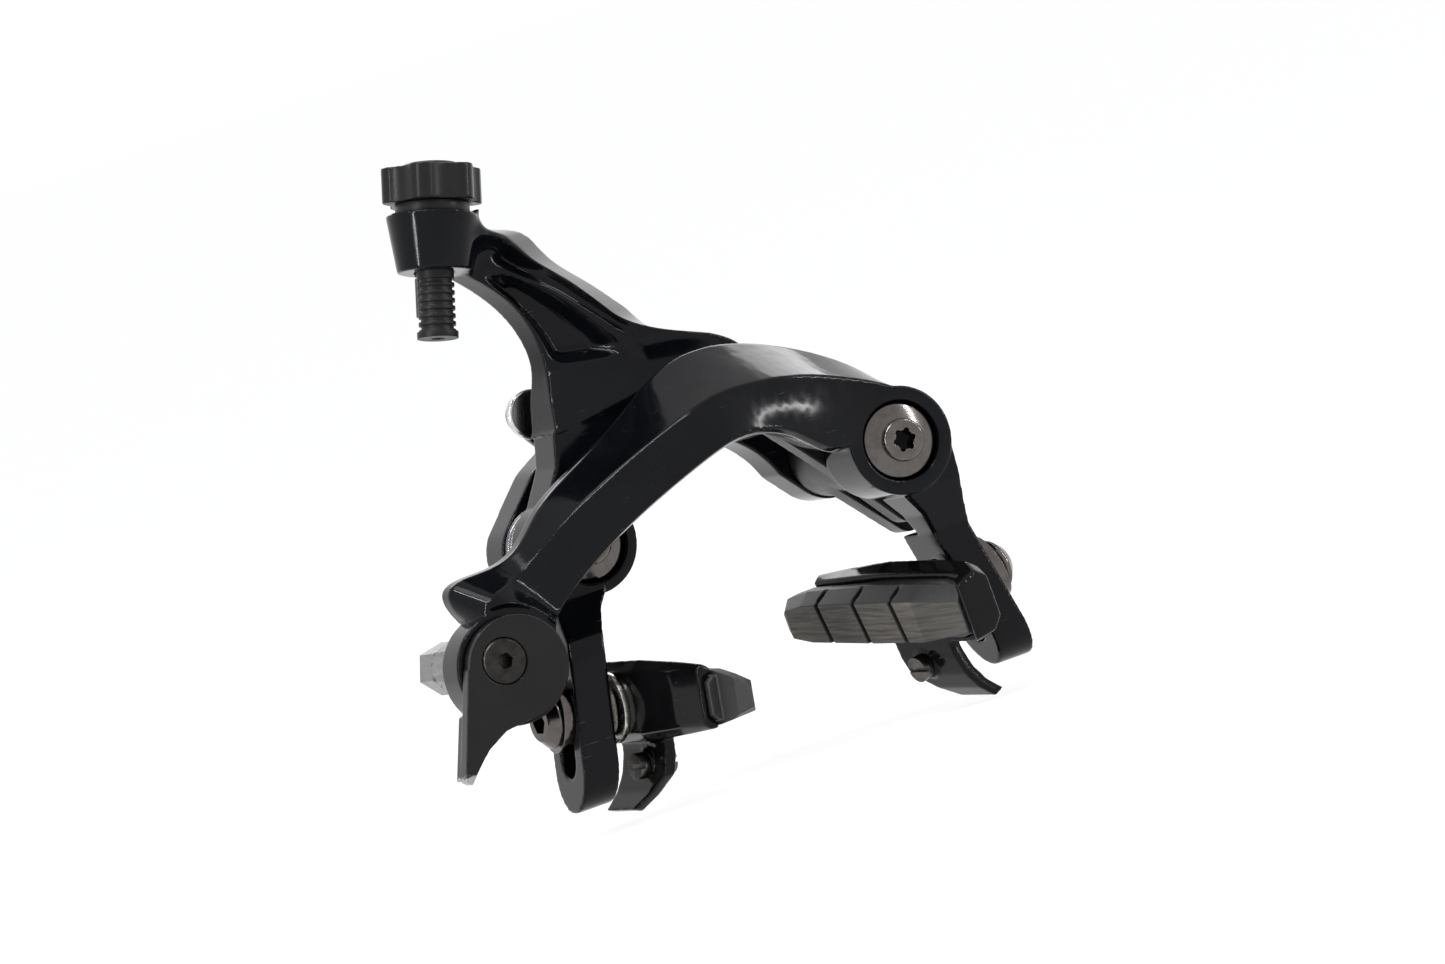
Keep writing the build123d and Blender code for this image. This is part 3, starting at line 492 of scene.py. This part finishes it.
@dataclass(frozen=True)
class PadRubber:
    """Dark pad compound with a worn, streaked facet on the rim side."""

    name: str
    inward: Triple
    along: Triple
    upward: Triple
    fresh: Colour = (0.016, 0.016, 0.017)
    streak_low: Colour = (0.040, 0.036, 0.032)
    streak_high: Colour = (0.150, 0.137, 0.122)
    speck: Colour = (0.34, 0.33, 0.31)
    worn_facing: Pair = (0.93, 0.985)
    streaks: Pattern = Pattern(1.0, 6.0, 0.62)
    streak_stretch: Pair = (0.09, 1.5)
    streak_limits: Pair = (0.34, 0.68)
    specks: Pattern = Pattern(2.6, 2.0, 0.5)
    speck_limits: Pair = (0.70, 0.76)
    speck_share: float = 0.7
    dust: Pattern = Pattern(1.3, 5.0, 0.7)
    dust_limits: Pair = (0.42, 0.75)
    dust_share: float = 0.35
    pores: Pattern = Pattern(5.0, 3.0)
    relief: Relief = Relief(0.35, 0.08)
    roughness: Pair = (0.5, 0.72)

    def build(self) -> bpy.types.Material:
        """Make the material.

        Returns:
            The material.
        """
        graph = Graph(self.name)
        facing = graph.vector("DOT_PRODUCT", graph.coordinates.outputs["Normal"], self.inward)
        worn = graph.band(facing, self.worn_facing)
        run, rise = (graph.maths("MULTIPLY", graph.vector("DOT_PRODUCT", graph.place, way), factor)
                     for way, factor in zip((self.along, self.upward), self.streak_stretch))
        streaks = graph.noise(self.streaks, graph.combined(run, rise))
        specks = graph.band(graph.noise(self.specks), self.speck_limits)
        face = graph.blend(graph.band(streaks, self.streak_limits), self.streak_low,
                           self.streak_high)
        face = graph.blend(graph.maths("MULTIPLY", specks, self.speck_share), face, self.speck)
        dust = graph.band(graph.noise(self.dust), self.dust_limits, (0.0, self.dust_share))
        skin = graph.blend(dust, self.fresh, self.streak_low)
        both = graph.maths("ADD", streaks, graph.noise(self.pores))
        graph.bump(graph.maths("MULTIPLY", both, 0.5), self.relief)
        return graph.set(base_color=graph.blend(worn, skin, face),
                         roughness=graph.band(worn, (0.0, 1.0), self.roughness))


Finish = Lacquer | Satin | Metal | PadRubber


class Palette:
    """Every finish of the caliper, each made once."""

    HEAD_BRIGHT: Colour = (0.13, 0.12, 0.115)
    HEAD_DULL: Colour = (0.06, 0.05, 0.045)

    def __init__(self) -> None:
        """Build the shared materials."""
        self.materials: dict[str, bpy.types.Material] = {}
        finishes = (
            Lacquer(),
            Lacquer("holder_gloss", (0.002, 0.002, 0.0024), (0.004, 0.004, 0.0046),
                    roughness=0.09),
            Satin(),
            Satin("knob_black", (0.004, 0.004, 0.0045), (0.010, 0.010, 0.0105), 0.3, 6.0),
            Satin("thread_black", (0.004, 0.004, 0.004), (0.010, 0.010, 0.010), 0.42, 5.0),
            Satin("roller_plastic", (0.02, 0.02, 0.02), (0.04, 0.04, 0.04), 0.5, 3.0),
            Metal("dark_nickel", (0.115, 0.105, 0.10), (0.05, 0.042, 0.04), 0.13),
            # the sockets of both pivot bolts get painted shade inside
            Metal("bolt_right", self.HEAD_BRIGHT, self.HEAD_DULL, 0.13, socket=(31.0, -50.9)),
            Metal("bolt_left", self.HEAD_BRIGHT, self.HEAD_DULL, 0.13, socket=(-31.0, -35.7)),
            Metal("black_oxide", (0.035, 0.033, 0.032), (0.018, 0.016, 0.015), 0.3, wear=0.7),
            Metal("dark_steel", (0.12, 0.11, 0.10), (0.055, 0.045, 0.04), 0.3, wear=0.7),
            Metal("spring_wire", (0.16, 0.16, 0.17), (0.05, 0.05, 0.05), 0.22),
            Metal("polished_steel", (0.62, 0.62, 0.62), (0.4, 0.39, 0.37), 0.16),
            Metal("washer_steel", (0.66, 0.64, 0.61), (0.42, 0.4, 0.36), 0.24),
            Metal("nut_steel", (0.22, 0.22, 0.22), (0.12, 0.115, 0.11), 0.3),
        )
        for finish in finishes:
            self.add(finish)

    def add(self, finish: Finish) -> None:
        """Make one more material."""
        self.materials[finish.name] = finish.build()

    def __getitem__(self, name: str) -> bpy.types.Material:
        """The material of that name."""
        return self.materials[name]


# ---------------------------------------------------------------- mesh tools
class Edge(Enum):
    """How round the edges of a piece that is dressed as it is are, in millimetres."""

    CRISP = 0.08
    SOFT = 0.2


class Forge(Enum):
    """Voxel size in millimetres and smoothing rounds, for a skin with rounded edges."""

    HEAVY = (0.30, 10)
    ROUND = (0.24, 30)
    LIGHT = (0.20, 9)
    FINE = (0.15, 5)


BEND = 24.0             # least angle of an edge that is rounded, in degrees
BEVEL_SEGMENTS = 3
WELD_GAP = 0.004        # points nearer than this are joined before the edges are rounded
SEAM_GAP = 0.002        # and before a skin is drawn over a node
SMOOTHING = 0.5         # how far one smoothing round moves a point


def points_of(mesh: bpy.types.Mesh) -> Points:
    """A mesh's points in millimetres.

    Args:
        mesh: The mesh.

    Returns:
        One row for each point.
    """
    flat = np.empty(len(mesh.vertices) * 3)
    mesh.vertices.foreach_get("co", flat)
    return flat.reshape(-1, 3) / MM


def smoothstep(low: float | Points, high: float | Points, value: Points) -> Points:
    """A soft step.

    Args:
        low: Where it starts.
        high: Where it ends.
        value: The numbers.

    Returns:
        Numbers from 0 to 1.
    """
    share = np.clip((value - low) / (high - low), 0.0, 1.0)
    return share * share * (3.0 - 2.0 * share)


def evaluated(piece: bpy.types.Object) -> bpy.types.Mesh:
    """A piece's mesh with its modifiers applied.

    Args:
        piece: The piece.

    Returns:
        A new mesh.
    """
    bpy.context.view_layer.update()
    graph = bpy.context.evaluated_depsgraph_get()
    return bpy.data.meshes.new_from_object(piece.evaluated_get(graph), depsgraph=graph)


def placed(name: str, data: bpy.types.ID) -> bpy.types.Object:
    """Put a new object into the scene.

    Args:
        name: Name of the object.
        data: Its mesh, light or camera.

    Returns:
        The object.
    """
    thing = bpy.data.objects.new(name, data)
    bpy.context.scene.collection.objects.link(thing)
    return thing


def paint(piece: bpy.types.Object, material: bpy.types.Material) -> None:
    """Give a piece one material.

    Args:
        piece: The piece.
        material: Its material.
    """
    if piece.material_slots:
        for slot in piece.material_slots:
            slot.link = "OBJECT"
            slot.material = material
    else:
        piece.data.materials.append(material)


def soften(piece: bpy.types.Object, edge: Edge, angle: float = BEND) -> None:
    """Round a hard piece's edges with modifiers and leave its mesh alone.

    Args:
        piece: The piece.
        edge: Kind of edge.
        angle: Least angle of an edge that is rounded, in degrees.
    """
    weld = piece.modifiers.new("weld", "WELD")
    weld.merge_threshold = WELD_GAP * MM
    bevel = piece.modifiers.new("edge", "BEVEL")
    bevel.width = edge.value * MM
    bevel.segments = BEVEL_SEGMENTS
    bevel.limit_method = "ANGLE"
    bevel.angle_limit = math.radians(angle)
    bevel.use_clamp_overlap = False
    bevel.harden_normals = True


def smooth(piece: bpy.types.Object, rounds: int, group: str = "") -> None:
    """Smooth a piece with a modifier.

    Args:
        piece: The piece.
        rounds: How many times.
        group: Vertex group that is smoothed, all of the piece if left out.
    """
    modifier = piece.modifiers.new("smooth", "SMOOTH")
    modifier.factor = SMOOTHING
    modifier.iterations = rounds
    modifier.vertex_group = group


@dataclass(frozen=True)
class Blend:
    """A ball inside which a skin is smoothed further, except round a bore, in millimetres."""

    place: Triple
    radius: float
    rounds: int
    bore_place: Triple
    bore_axis: Triple
    bore_radius: float
    steps: int = 4

    def soften(self, piece: bpy.types.Object) -> None:
        """Add the smoothing to a skin, fully in the inner half of the ball and less outside.

        Args:
            piece: The skin.
        """
        group = piece.vertex_groups.new(name="blend")
        points = points_of(piece.data)
        away = np.linalg.norm(points - np.array(self.place), axis=1)
        near = np.clip(2.0 - 2.0 * away / self.radius, 0.0, 1.0)
        spokes = np.cross(points - np.array(self.bore_place), np.array(self.bore_axis))
        near *= np.linalg.norm(spokes, axis=1) > self.bore_radius
        for step in range(1, self.steps + 1):
            chosen = np.nonzero(np.ceil(near * self.steps).astype(int) == step)[0]
            group.add(chosen.tolist(), step / self.steps, "REPLACE")
        smooth(piece, self.rounds, group.name)


def merged(piece: bpy.types.Object, grade: Forge, shape: Shaper | None = None,
           blend: Blend | None = None) -> None:
    """Rebuild a piece's mesh as one skin with soft edges, in place.

    Args:
        piece: The piece, whose shells may overlap.
        grade: How fine and how soft.
        shape: Moves the skin's points, in millimetres, before they are smoothed.
        blend: A place that is smoothed further.
    """
    voxel, rounds = grade.value
    remesh = piece.modifiers.new("skin", "REMESH")
    remesh.mode = "VOXEL"
    remesh.voxel_size = voxel * MM
    remesh.adaptivity = 0.0
    skin = evaluated(piece)
    piece.modifiers.clear()
    piece.data = skin
    if shape:
        skin.vertices.foreach_set("co", (shape(points_of(skin)) * MM).ravel())
    if blend:
        blend.soften(piece)
    smooth(piece, rounds)
    piece.data = evaluated(piece)
    piece.modifiers.clear()
    piece.data.polygons.foreach_set("use_smooth", [True] * len(piece.data.polygons))


def turned(name: str, profile: Lines, place: Vector, axis: Vector,
           steps: int = 96) -> bpy.types.Object:
    """Turn a closed profile round an axis.

    Args:
        name: Name of the piece.
        profile: Radius and height of each corner, in millimetres.
        place: Foot of the axis, in millimetres.
        axis: Direction of the axis.
        steps: Number of faces round it.

    Returns:
        The new piece.
    """
    frame = axis.to_track_quat("Z", "Y").to_matrix()
    mesh = bmesh.new()
    rings = []
    for step in range(steps):
        angle = 2 * math.pi * step / steps
        spoke = Vector((math.cos(angle), math.sin(angle), 0))
        corners = (spoke * radius + Vector((0, 0, height)) for radius, height in profile)
        rings.append([mesh.verts.new((place + frame @ corner) * MM) for corner in corners])
    for ring, after in zip(rings, rings[1:] + rings[:1]):
        for corner in range(len(profile)):
            before = corner - 1
            mesh.faces.new((ring[before], after[before], after[corner], ring[corner]))
    bmesh.ops.recalc_face_normals(mesh, faces=mesh.faces)
    for face in mesh.faces:
        face.smooth = True
    data = bpy.data.meshes.new(name)
    mesh.to_mesh(data)
    mesh.free()
    return placed(name, data)


@dataclass
class Workshop:
    """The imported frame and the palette, which every sub-assembly works with."""

    nodes: dict[str, bpy.types.Object]
    bodies: dict[str, list[str]]
    slots: dict[str, str]
    palette: Palette

    def dress(self, node: str, finish: str, edge: Edge = Edge.SOFT, angle: float = BEND) -> None:
        """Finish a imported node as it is.

        Args:
            node: Name of the node.
            finish: Name of the finish.
            edge: Kind of edge.
            angle: Least angle of a rounded edge, in degrees.
        """
        piece = self.nodes[node]
        paint(piece, self.palette[finish])
        soften(piece, edge, angle)
        log.info("%s dressed in %s", node, finish)

    def forge(self, node: str, finish: str, grade: Forge, shape: Shaper | None = None,
              blend: Blend | None = None) -> None:
        """Stand a soft-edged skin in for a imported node.

        Args:
            node: Name of the node.
            finish: Name of the finish.
            grade: How fine and how soft.
            shape: Moves the skin's points before it is smoothed.
            blend: A place that is smoothed further.
        """
        mesh = self.nodes[node].data.copy()
        shell = bmesh.new()
        shell.from_mesh(mesh)
        bmesh.ops.remove_doubles(shell, verts=shell.verts, dist=SEAM_GAP * MM)
        shell.to_mesh(mesh)
        shell.free()
        mesh.materials.clear()
        piece = placed(node + "_skin", mesh)
        merged(piece, grade, shape, blend)
        piece.data.materials.clear()
        piece.data.materials.append(self.palette[finish])
        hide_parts(node)
        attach(piece, self.body_of(node))
        log.info("%s forged in %s, %d faces", node, finish, len(piece.data.polygons))

    def body_of(self, node: str) -> str:
        """The body that a node rides on."""
        return next(body for body, members in self.bodies.items() if node in members)


# ---------------------------------------------------------------- sub-assemblies
@dataclass
class PivotMount:
    """Joining plate, sleeves, bolts, return spring and its stop."""

    shop: Workshop
    spring_bend: float = 50.0

    def dress(self) -> None:
        """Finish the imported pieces."""
        self.shop.forge("booster_plate", "forged_lacquer", Forge.HEAVY)
        self.shop.dress("stop_stud", "polished_steel")
        self.shop.dress("return_spring", "spring_wire", Edge.CRISP, self.spring_bend)
        for side in ("right", "left"):
            self.shop.dress("pivot_sleeve_" + side, "polished_steel")
            self.shop.dress("dome_washer_" + side, "dark_nickel")
            self.shop.dress("pivot_bolt_" + side, "bolt_" + side, Edge.CRISP)


@dataclass
class FrontArm:
    """Front arm with its link lever, its roller and the centring screw."""

    shop: Workshop

    def dress(self) -> None:
        """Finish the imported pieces."""
        self.shop.forge("c_arm", "forged_lacquer", Forge.HEAVY)
        self.shop.forge("link_lever", "satin_black", Forge.LIGHT)
        self.shop.dress("centering_screw", "dark_steel", Edge.CRISP)
        self.shop.dress("roller_pin", "dark_steel", Edge.CRISP)
        self.shop.dress("equalizer_roller", "roller_plastic")


@dataclass(frozen=True)
class Limb:
    """The carving of the rear arm's limb, in millimetres.

    A ridge runs up its front. Right of it the outer side slopes back, with a shallow valley next
    to the ridge, and left of it lies a deeper pocket. Each line is given as heights and the x of
    each, and each pair is where something starts and where it is full.
    """

    front: float = -28.6
    rear: float = -17.8
    packed_edge: Lines = ((32.0, 5.4), (37.5, -2.9), (43.2, -7.8), (48.7, -12.3), (54.4, -16.3),
                          (62.0, -24.2), (67.5, -27.8))
    facet_front: Lines = ((32.8, -4.2), (42.6, -11.3), (50.8, -17.8), (56.5, -24.2),
                          (62.0, -27.5), (67.5, -29.0))
    facet_rear: Lines = ((32.7, 4.9), (41.0, -3.1), (49.2, -10.3), (54.4, -15.0), (59.5, -20.2),
                         (65.0, -23.5), (67.5, -27.4))
    ridge: Lines = ((32.1, -6.2), (41.3, -13.4), (49.7, -21.2), (53.0, -25.9), (57.0, -28.5),
                    (62.0, -30.5), (67.5, -30.5))
    left_edge: Lines = ((28.0, -26.6), (35.1, -24.3), (40.6, -24.9), (46.1, -27.2),
                        (53.2, -31.2), (58.0, -35.0))
    averaging: tuple[int, ...] = (-3, -2, -1, 0, 1, 2, 3)
    slope_foot: Pair = (30.0, 41.0)
    slope_head: Pair = (65.5, 69.5)
    slope_spare: float = 1.2
    slope_reach: float = 3.0
    slope_back: float = 1.0
    front_limits: Pair = (-24.0, -20.5)
    pocket_depth: float = 3.4
    pocket_left: Pair = (0.05, 0.30)
    pocket_right: Pair = (0.62, 0.95)
    pocket_head: Pair = (50.0, 56.0)
    floor_height: float = 34.5
    floor_from: float = -24.0
    floor_fall: float = 0.19
    floor_limits: Pair = (-0.5, 2.5)
    valley_depth: float = 1.0
    valley_foot: Pair = (34.0, 38.0)
    valley_head: Pair = (56.0, 59.0)
    valley_deeper: Pair = (51.0, 55.0)

    def line(self, rows: Lines, z: Points) -> Points:
        """A line's x at every height, averaged over a few millimetres so that it has no corners.

        Args:
            rows: Heights and the x of each.
            z: Heights of the points.

        Returns:
            One x for each point.
        """
        heights, places = zip(*rows)
        total = sum(np.interp(z + step, heights, places) for step in self.averaging)
        return total / len(self.averaging)

    def sloped(self, x: Points, y: Points, z: Points) -> Points:
        """Slope the outer side.

        Args:
            x: The points' x.
            y: The points' y.
            z: The points' z.

        Returns:
            The new x.
        """
        ridge, edge = self.line(self.ridge, z), self.line(self.packed_edge, z)
        depth = np.clip((y - self.front) / (self.rear - self.front), 0.0, 1.0)
        facet = (self.line(self.facet_front, z) * (1 - depth)
                 + self.line(self.facet_rear, z) * depth)
        beside = np.clip((x - ridge) / (edge - ridge), 0.0, self.slope_spare)
        here = smoothstep(*self.slope_foot, z) * (1 - smoothstep(*self.slope_head, z))
        inside = (x > ridge) * (y < self.rear + self.slope_back) * (x < edge + self.slope_reach)
        return x + here * inside * (ridge + beside * (facet - ridge) - x)

    def pocket(self, x: Points, z: Points) -> Points:
        """How deep the pocket is, as a share of its depth.

        Args:
            x: The points' x.
            z: The points' z.

        Returns:
            One share for each point.
        """
        left = self.line(self.left_edge, z)
        across = (x - left) / (self.line(self.ridge, z) - left)
        low, high = self.floor_limits
        floor = self.floor_height - self.floor_fall * (x - self.floor_from)
        wide = smoothstep(*self.pocket_left, across) * (1 - smoothstep(*self.pocket_right, across))
        tall = smoothstep(floor + low, floor + high, z) * (1 - smoothstep(*self.pocket_head, z))
        return wide * tall

    def valley(self, x: Points, z: Points) -> Points:
        """How deep the valley is, as a share of its depth.

        Args:
            x: The points' x.
            z: The points' z.

        Returns:
            One share for each point.
        """
        ridge = self.line(self.ridge, z)
        between = (x - ridge) / (self.line(self.facet_front, z) - ridge)
        wide = np.sin(np.pi * np.clip(between, 0.0, 1.0)) * smoothstep(*self.valley_foot, z)
        tall = (1 - smoothstep(*self.valley_head, z)) * (1 + smoothstep(*self.valley_deeper, z))
        return wide * tall

    def carve(self, points: Points) -> Points:
        """Slope the limb's outer side, and hollow its front on both sides of the ridge.

        Args:
            points: The skin's points.

        Returns:
            The moved points.
        """
        x, y, z = points.T.copy()
        x = self.sloped(x, y, z)
        frontal = 1 - smoothstep(*self.front_limits, y)
        deep = self.pocket_depth * self.pocket(x, z) + self.valley_depth * self.valley(x, z)
        return np.stack((x, y + frontal * deep, z), axis=1)


@dataclass
class RearArm:
    """Rear arm with the adjuster on its boss, in millimetres."""

    shop: Workshop
    limb: Limb = Limb()
    knob_top: Triple = (-34.8, -24.8, 77.5)
    knob_up: Triple = (0.304, 0.070, 0.950)
    shoulder: Blend = Blend((-29.0, -26.5, 64.0), 10.5, 110, knob_top, knob_up, 4.8)
    cap_profile: Lines = ((3.3, -1.4), (3.3, 0.5), (3.7, 0.9), (5.1, 0.9), (5.6, 0.4),
                          (5.6, -1.4))

    def cap(self) -> None:
        """Set a raised ring on the knob, round the mouth for the cable."""
        ring = turned("knob_cap", self.cap_profile, Vector(self.knob_top), Vector(self.knob_up))
        paint(ring, self.shop.palette["knob_black"])
        soften(ring, Edge.SOFT)
        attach(ring, self.shop.body_of("barrel_knob"))
        log.info("knob_cap turned")

    def dress(self) -> None:
        """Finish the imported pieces."""
        self.shop.forge("y_arm", "forged_lacquer", Forge.HEAVY, self.limb.carve, self.shoulder)
        self.shop.dress("barrel_guide", "satin_black", Edge.CRISP)
        self.shop.forge("barrel_knob", "knob_black", Forge.LIGHT)
        self.cap()
        self.shop.dress("barrel_collar", "satin_black")
        self.shop.dress("barrel_thread", "thread_black", Edge.CRISP)


@dataclass
class CableRelease:
    """Release lever, with a painted reflection of the floor on the tip of its handle, and the cable
    anchor on its barrel.
    """

    shop: Workshop
    # how far the painted floor reflection reaches from the lever's lowest left corner
    reflection_width: float = 3.5
    reflection_height: float = 1.7

    def dress(self) -> None:
        """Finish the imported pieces."""
        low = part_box("release_lever")[0]
        corner = (low[0] / MM + self.reflection_width, low[2] / MM + self.reflection_height)
        # the lever's lowest left corner gets a painted reflection of the floor
        self.shop.palette.add(Satin("lever_reflection", (0.004, 0.004, 0.0045), (0.009, 0.009, 0.0095),
                                    0.26, 9.0, reflection_corner=corner))
        self.shop.forge("release_lever", "lever_reflection", Forge.LIGHT)
        self.shop.dress("anchor_bolt", "black_oxide", Edge.CRISP)
        self.shop.dress("clamp_plate", "dark_steel", Edge.CRISP)
        self.shop.dress("clamp_nut", "nut_steel")


@dataclass
class BrakePad:
    """One pad with its holder, washers and bolt.

    Toe is how far its rim side turns to the front, pitch how far it tips along its length and
    tilt how far it looks down, all in degrees.
    """

    shop: Workshop
    side: str
    toe: float
    pitch: float
    tilt: float = 7.5

    def axes(self) -> tuple[Vector, Vector, Vector]:
        """The pad's own directions.

        Returns:
            Towards the closed end, upwards and inwards.
        """
        sign = 1 if self.side == "right" else -1
        toe, tilt = math.radians(self.toe), math.radians(self.tilt)
        inward = Vector((-sign * math.cos(toe) * math.cos(tilt),
                         -sign * math.sin(toe) * math.cos(tilt), -math.sin(tilt)))
        flat = Vector((sign * math.sin(toe), -sign * math.cos(toe), 0))
        closed = Matrix.Rotation(math.radians(-sign * self.pitch), 3, inward) @ flat
        return closed, inward.cross(closed), inward

    def dress(self) -> None:
        """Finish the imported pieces."""
        closed, upward, inward = (tuple(way) for way in self.axes())
        rubber = "pad_rubber_" + self.side
        self.shop.palette.add(PadRubber(rubber, inward, closed, upward))
        self.shop.forge("brake_pad_" + self.side, rubber, Forge.FINE)
        self.shop.forge("pad_holder_" + self.side, "holder_gloss", Forge.ROUND)
        for node, finish in (("retaining_screw_", "dark_steel"), ("cupped_washer_", "washer_steel"),
                             ("domed_washer_", "washer_steel"), ("outer_washer_", "dark_nickel"),
                             ("pad_bolt_", "dark_nickel")):
            self.shop.dress(node + self.side, finish, Edge.CRISP)


# ---------------------------------------------------------------- studio
@dataclass(frozen=True)
class Strip:
    """A soft lamp that points at the object's middle, in metres and watts."""

    name: str
    offset: Triple
    width: float
    height: float
    power: float

    def hang(self, middle: Vector) -> None:
        """Hang the lamp.

        Args:
            middle: The object's middle.
        """
        data = bpy.data.lights.new(self.name, "AREA")
        data.shape = "RECTANGLE"
        data.size, data.size_y = self.width, self.height
        data.energy = self.power
        lamp = placed(self.name, data)
        lamp.location = middle + Vector(self.offset)
        lamp.rotation_euler = (-Vector(self.offset)).to_track_quat("-Z", "Y").to_euler()


@dataclass(frozen=True)
class Studio:
    """Pale floor, soft lamps and the camera, in metres."""

    eye: Triple = (-0.6614, -1.7698, 0.1069)
    view: Triple = (0.355, 0.933, -0.056)
    right: Triple = (0.883, -0.355, -0.306)
    lens: float = 240.26
    sensor: float = 36.0
    reach: float = 100.0
    floor_size: float = 60.0
    floor_drop: float = 0.4 * MM
    floor_colour: Colour = (0.9, 0.9, 0.9)
    floor_glow: float = 1.16
    floor_share: float = 0.75
    sky_colour: Colour = (0.92, 0.95, 1.0)
    sky_power: float = 0.35
    sun_power: float = 0.7
    sun_angle: float = 24.0
    sun_way: Triple = (0.25, 0.18, -1.0)
    strips: tuple[Strip, ...] = (
        Strip("overhead_strip", (-0.35, -0.35, 0.75), 0.7, 0.026, 4.4),
        Strip("left_strip", (-0.9, -0.35, 0.30), 0.026, 0.8, 4.6),
        Strip("right_strip", (0.75, -0.65, 0.30), 0.024, 0.7, 3.6),
        Strip("back_panel", (0.35, 0.95, 0.75), 1.0, 0.5, 6.0),
    )

    @staticmethod
    def shader(tree: bpy.types.NodeTree, kind: str, colour: Colour = (1.0, 1.0, 1.0),
               power: float | None = None) -> Socket:
        """Add a plain shader.

        Args:
            tree: Tree that takes the node.
            kind: Type of the node.
            colour: Its colour.
            power: Its strength, where it glows.

        Returns:
            The shader's socket.
        """
        node = tree.nodes.new(kind)
        node.inputs["Color"].default_value = (*colour, 1)
        if power is not None:
            node.inputs["Strength"].default_value = power
        return node.outputs[0]

    @staticmethod
    def shown(tree: bpy.types.NodeTree, lit: Socket, seen: Socket, share: float) -> Socket:
        """Show camera, glossy and transmission rays another shader than the rest meets.

        Args:
            tree: Tree that takes the nodes.
            lit: Shader that all other rays meet.
            seen: Shader that is mixed in for those rays.
            share: How much of it.

        Returns:
            The mixed shader's socket.
        """
        path = tree.nodes.new("ShaderNodeLightPath")
        total = path.outputs["Is Camera Ray"]
        for name in ("Is Glossy Ray", "Is Transmission Ray"):
            either = tree.nodes.new("ShaderNodeMath")
            either.operation = "MAXIMUM"
            tree.links.new(total, either.inputs[0])
            tree.links.new(path.outputs[name], either.inputs[1])
            total = either.outputs[0]
        part = tree.nodes.new("ShaderNodeMath")
        part.operation = "MULTIPLY"
        part.inputs[1].default_value = share
        tree.links.new(total, part.inputs[0])
        mix = tree.nodes.new("ShaderNodeMixShader")
        for source, target in zip((part.outputs[0], lit, seen), mix.inputs):
            tree.links.new(source, target)
        return mix.outputs[0]

    def floor(self, height: float) -> None:
        """Lay the floor, which keeps the object's shadow.

        Args:
            height: Height of the floor.
        """
        mesh = bpy.data.meshes.new("floor")
        half = self.floor_size / 2
        corners = ((-half, -half), (half, -half), (half, half), (-half, half))
        mesh.from_pydata([(x, y, height) for x, y in corners], [], [(0, 1, 2, 3)])
        floor = placed("floor", mesh)
        material = bpy.data.materials.new("floor_white")
        material.use_nodes = True
        tree = material.node_tree
        tree.nodes.clear()
        lit = self.shader(tree, "ShaderNodeBsdfDiffuse", self.floor_colour)
        glow = self.shader(tree, "ShaderNodeEmission", power=self.floor_glow)
        output = tree.nodes.new("ShaderNodeOutputMaterial")
        tree.links.new(self.shown(tree, lit, glow, self.floor_share), output.inputs[0])
        mesh.materials.append(material)
        floor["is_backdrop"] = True

    def world(self) -> None:
        """Set up white to look at, and a soft sky for the light."""
        world = bpy.data.worlds.new("studio")
        bpy.context.scene.world = world
        world.use_nodes = True
        tree = world.node_tree
        tree.nodes.clear()
        sky = self.shader(tree, "ShaderNodeBackground", self.sky_colour, self.sky_power)
        white = self.shader(tree, "ShaderNodeBackground", power=1.0)
        output = tree.nodes.new("ShaderNodeOutputWorld")
        tree.links.new(self.shown(tree, sky, white, 1.0), output.inputs[0])

    def sun(self) -> None:
        """Light floor and object evenly, with a soft shadow."""
        data = bpy.data.lights.new("sun", "SUN")
        data.energy = self.sun_power
        data.angle = math.radians(self.sun_angle)
        lamp = placed("sun", data)
        lamp.rotation_euler = Vector(self.sun_way).to_track_quat("-Z", "Y").to_euler()

    def camera(self) -> None:
        """Set the camera at the viewing angle."""
        data = bpy.data.cameras.new("camera")
        data.lens = self.lens
        data.sensor_width = self.sensor
        data.clip_end = self.reach
        camera = placed("camera", data)
        back = -Vector(self.view).normalized()
        right = Vector(self.right)
        right = (right - back * right.dot(back)).normalized()
        turn = Matrix((right, back.cross(right), back)).transposed().to_4x4()
        camera.matrix_world = Matrix.Translation(Vector(self.eye)) @ turn
        bpy.context.scene.camera = camera

    def build(self, low: Vector, high: Vector) -> None:
        """Set up the whole studio.

        Args:
            low: Lowest corner of the object.
            high: Highest corner of the object.
        """
        self.floor(low.z - self.floor_drop)
        self.world()
        self.sun()
        for strip in self.strips:
            strip.hang((low + high) / 2)
        self.camera()
        bpy.context.scene.view_settings.view_transform = "Standard"
        log.info("studio set")


def main() -> None:
    """Build every sub-assembly in order."""
    logging.basicConfig(level=logging.INFO, format="%(message)s")
    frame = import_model()
    cad_box = [list(corner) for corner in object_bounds()]
    Studio().build(*(Vector(corner) for corner in cad_box))
    bodies = frame["record"]["behaviour"]["bodies"]
    slots = {part["node"]: part["material_slot"] for part in frame["record"]["subparts"]}
    shop = Workshop(frame["nodes"], bodies, slots, Palette())
    for part in (PivotMount(shop), FrontArm(shop), RearArm(shop), CableRelease(shop),
                 BrakePad(shop, "right", toe=14.0, pitch=6.6),
                 BrakePad(shop, "left", toe=8.0, pitch=-3.2)):
        part.dress()


if __name__ == "__main__":
    main()
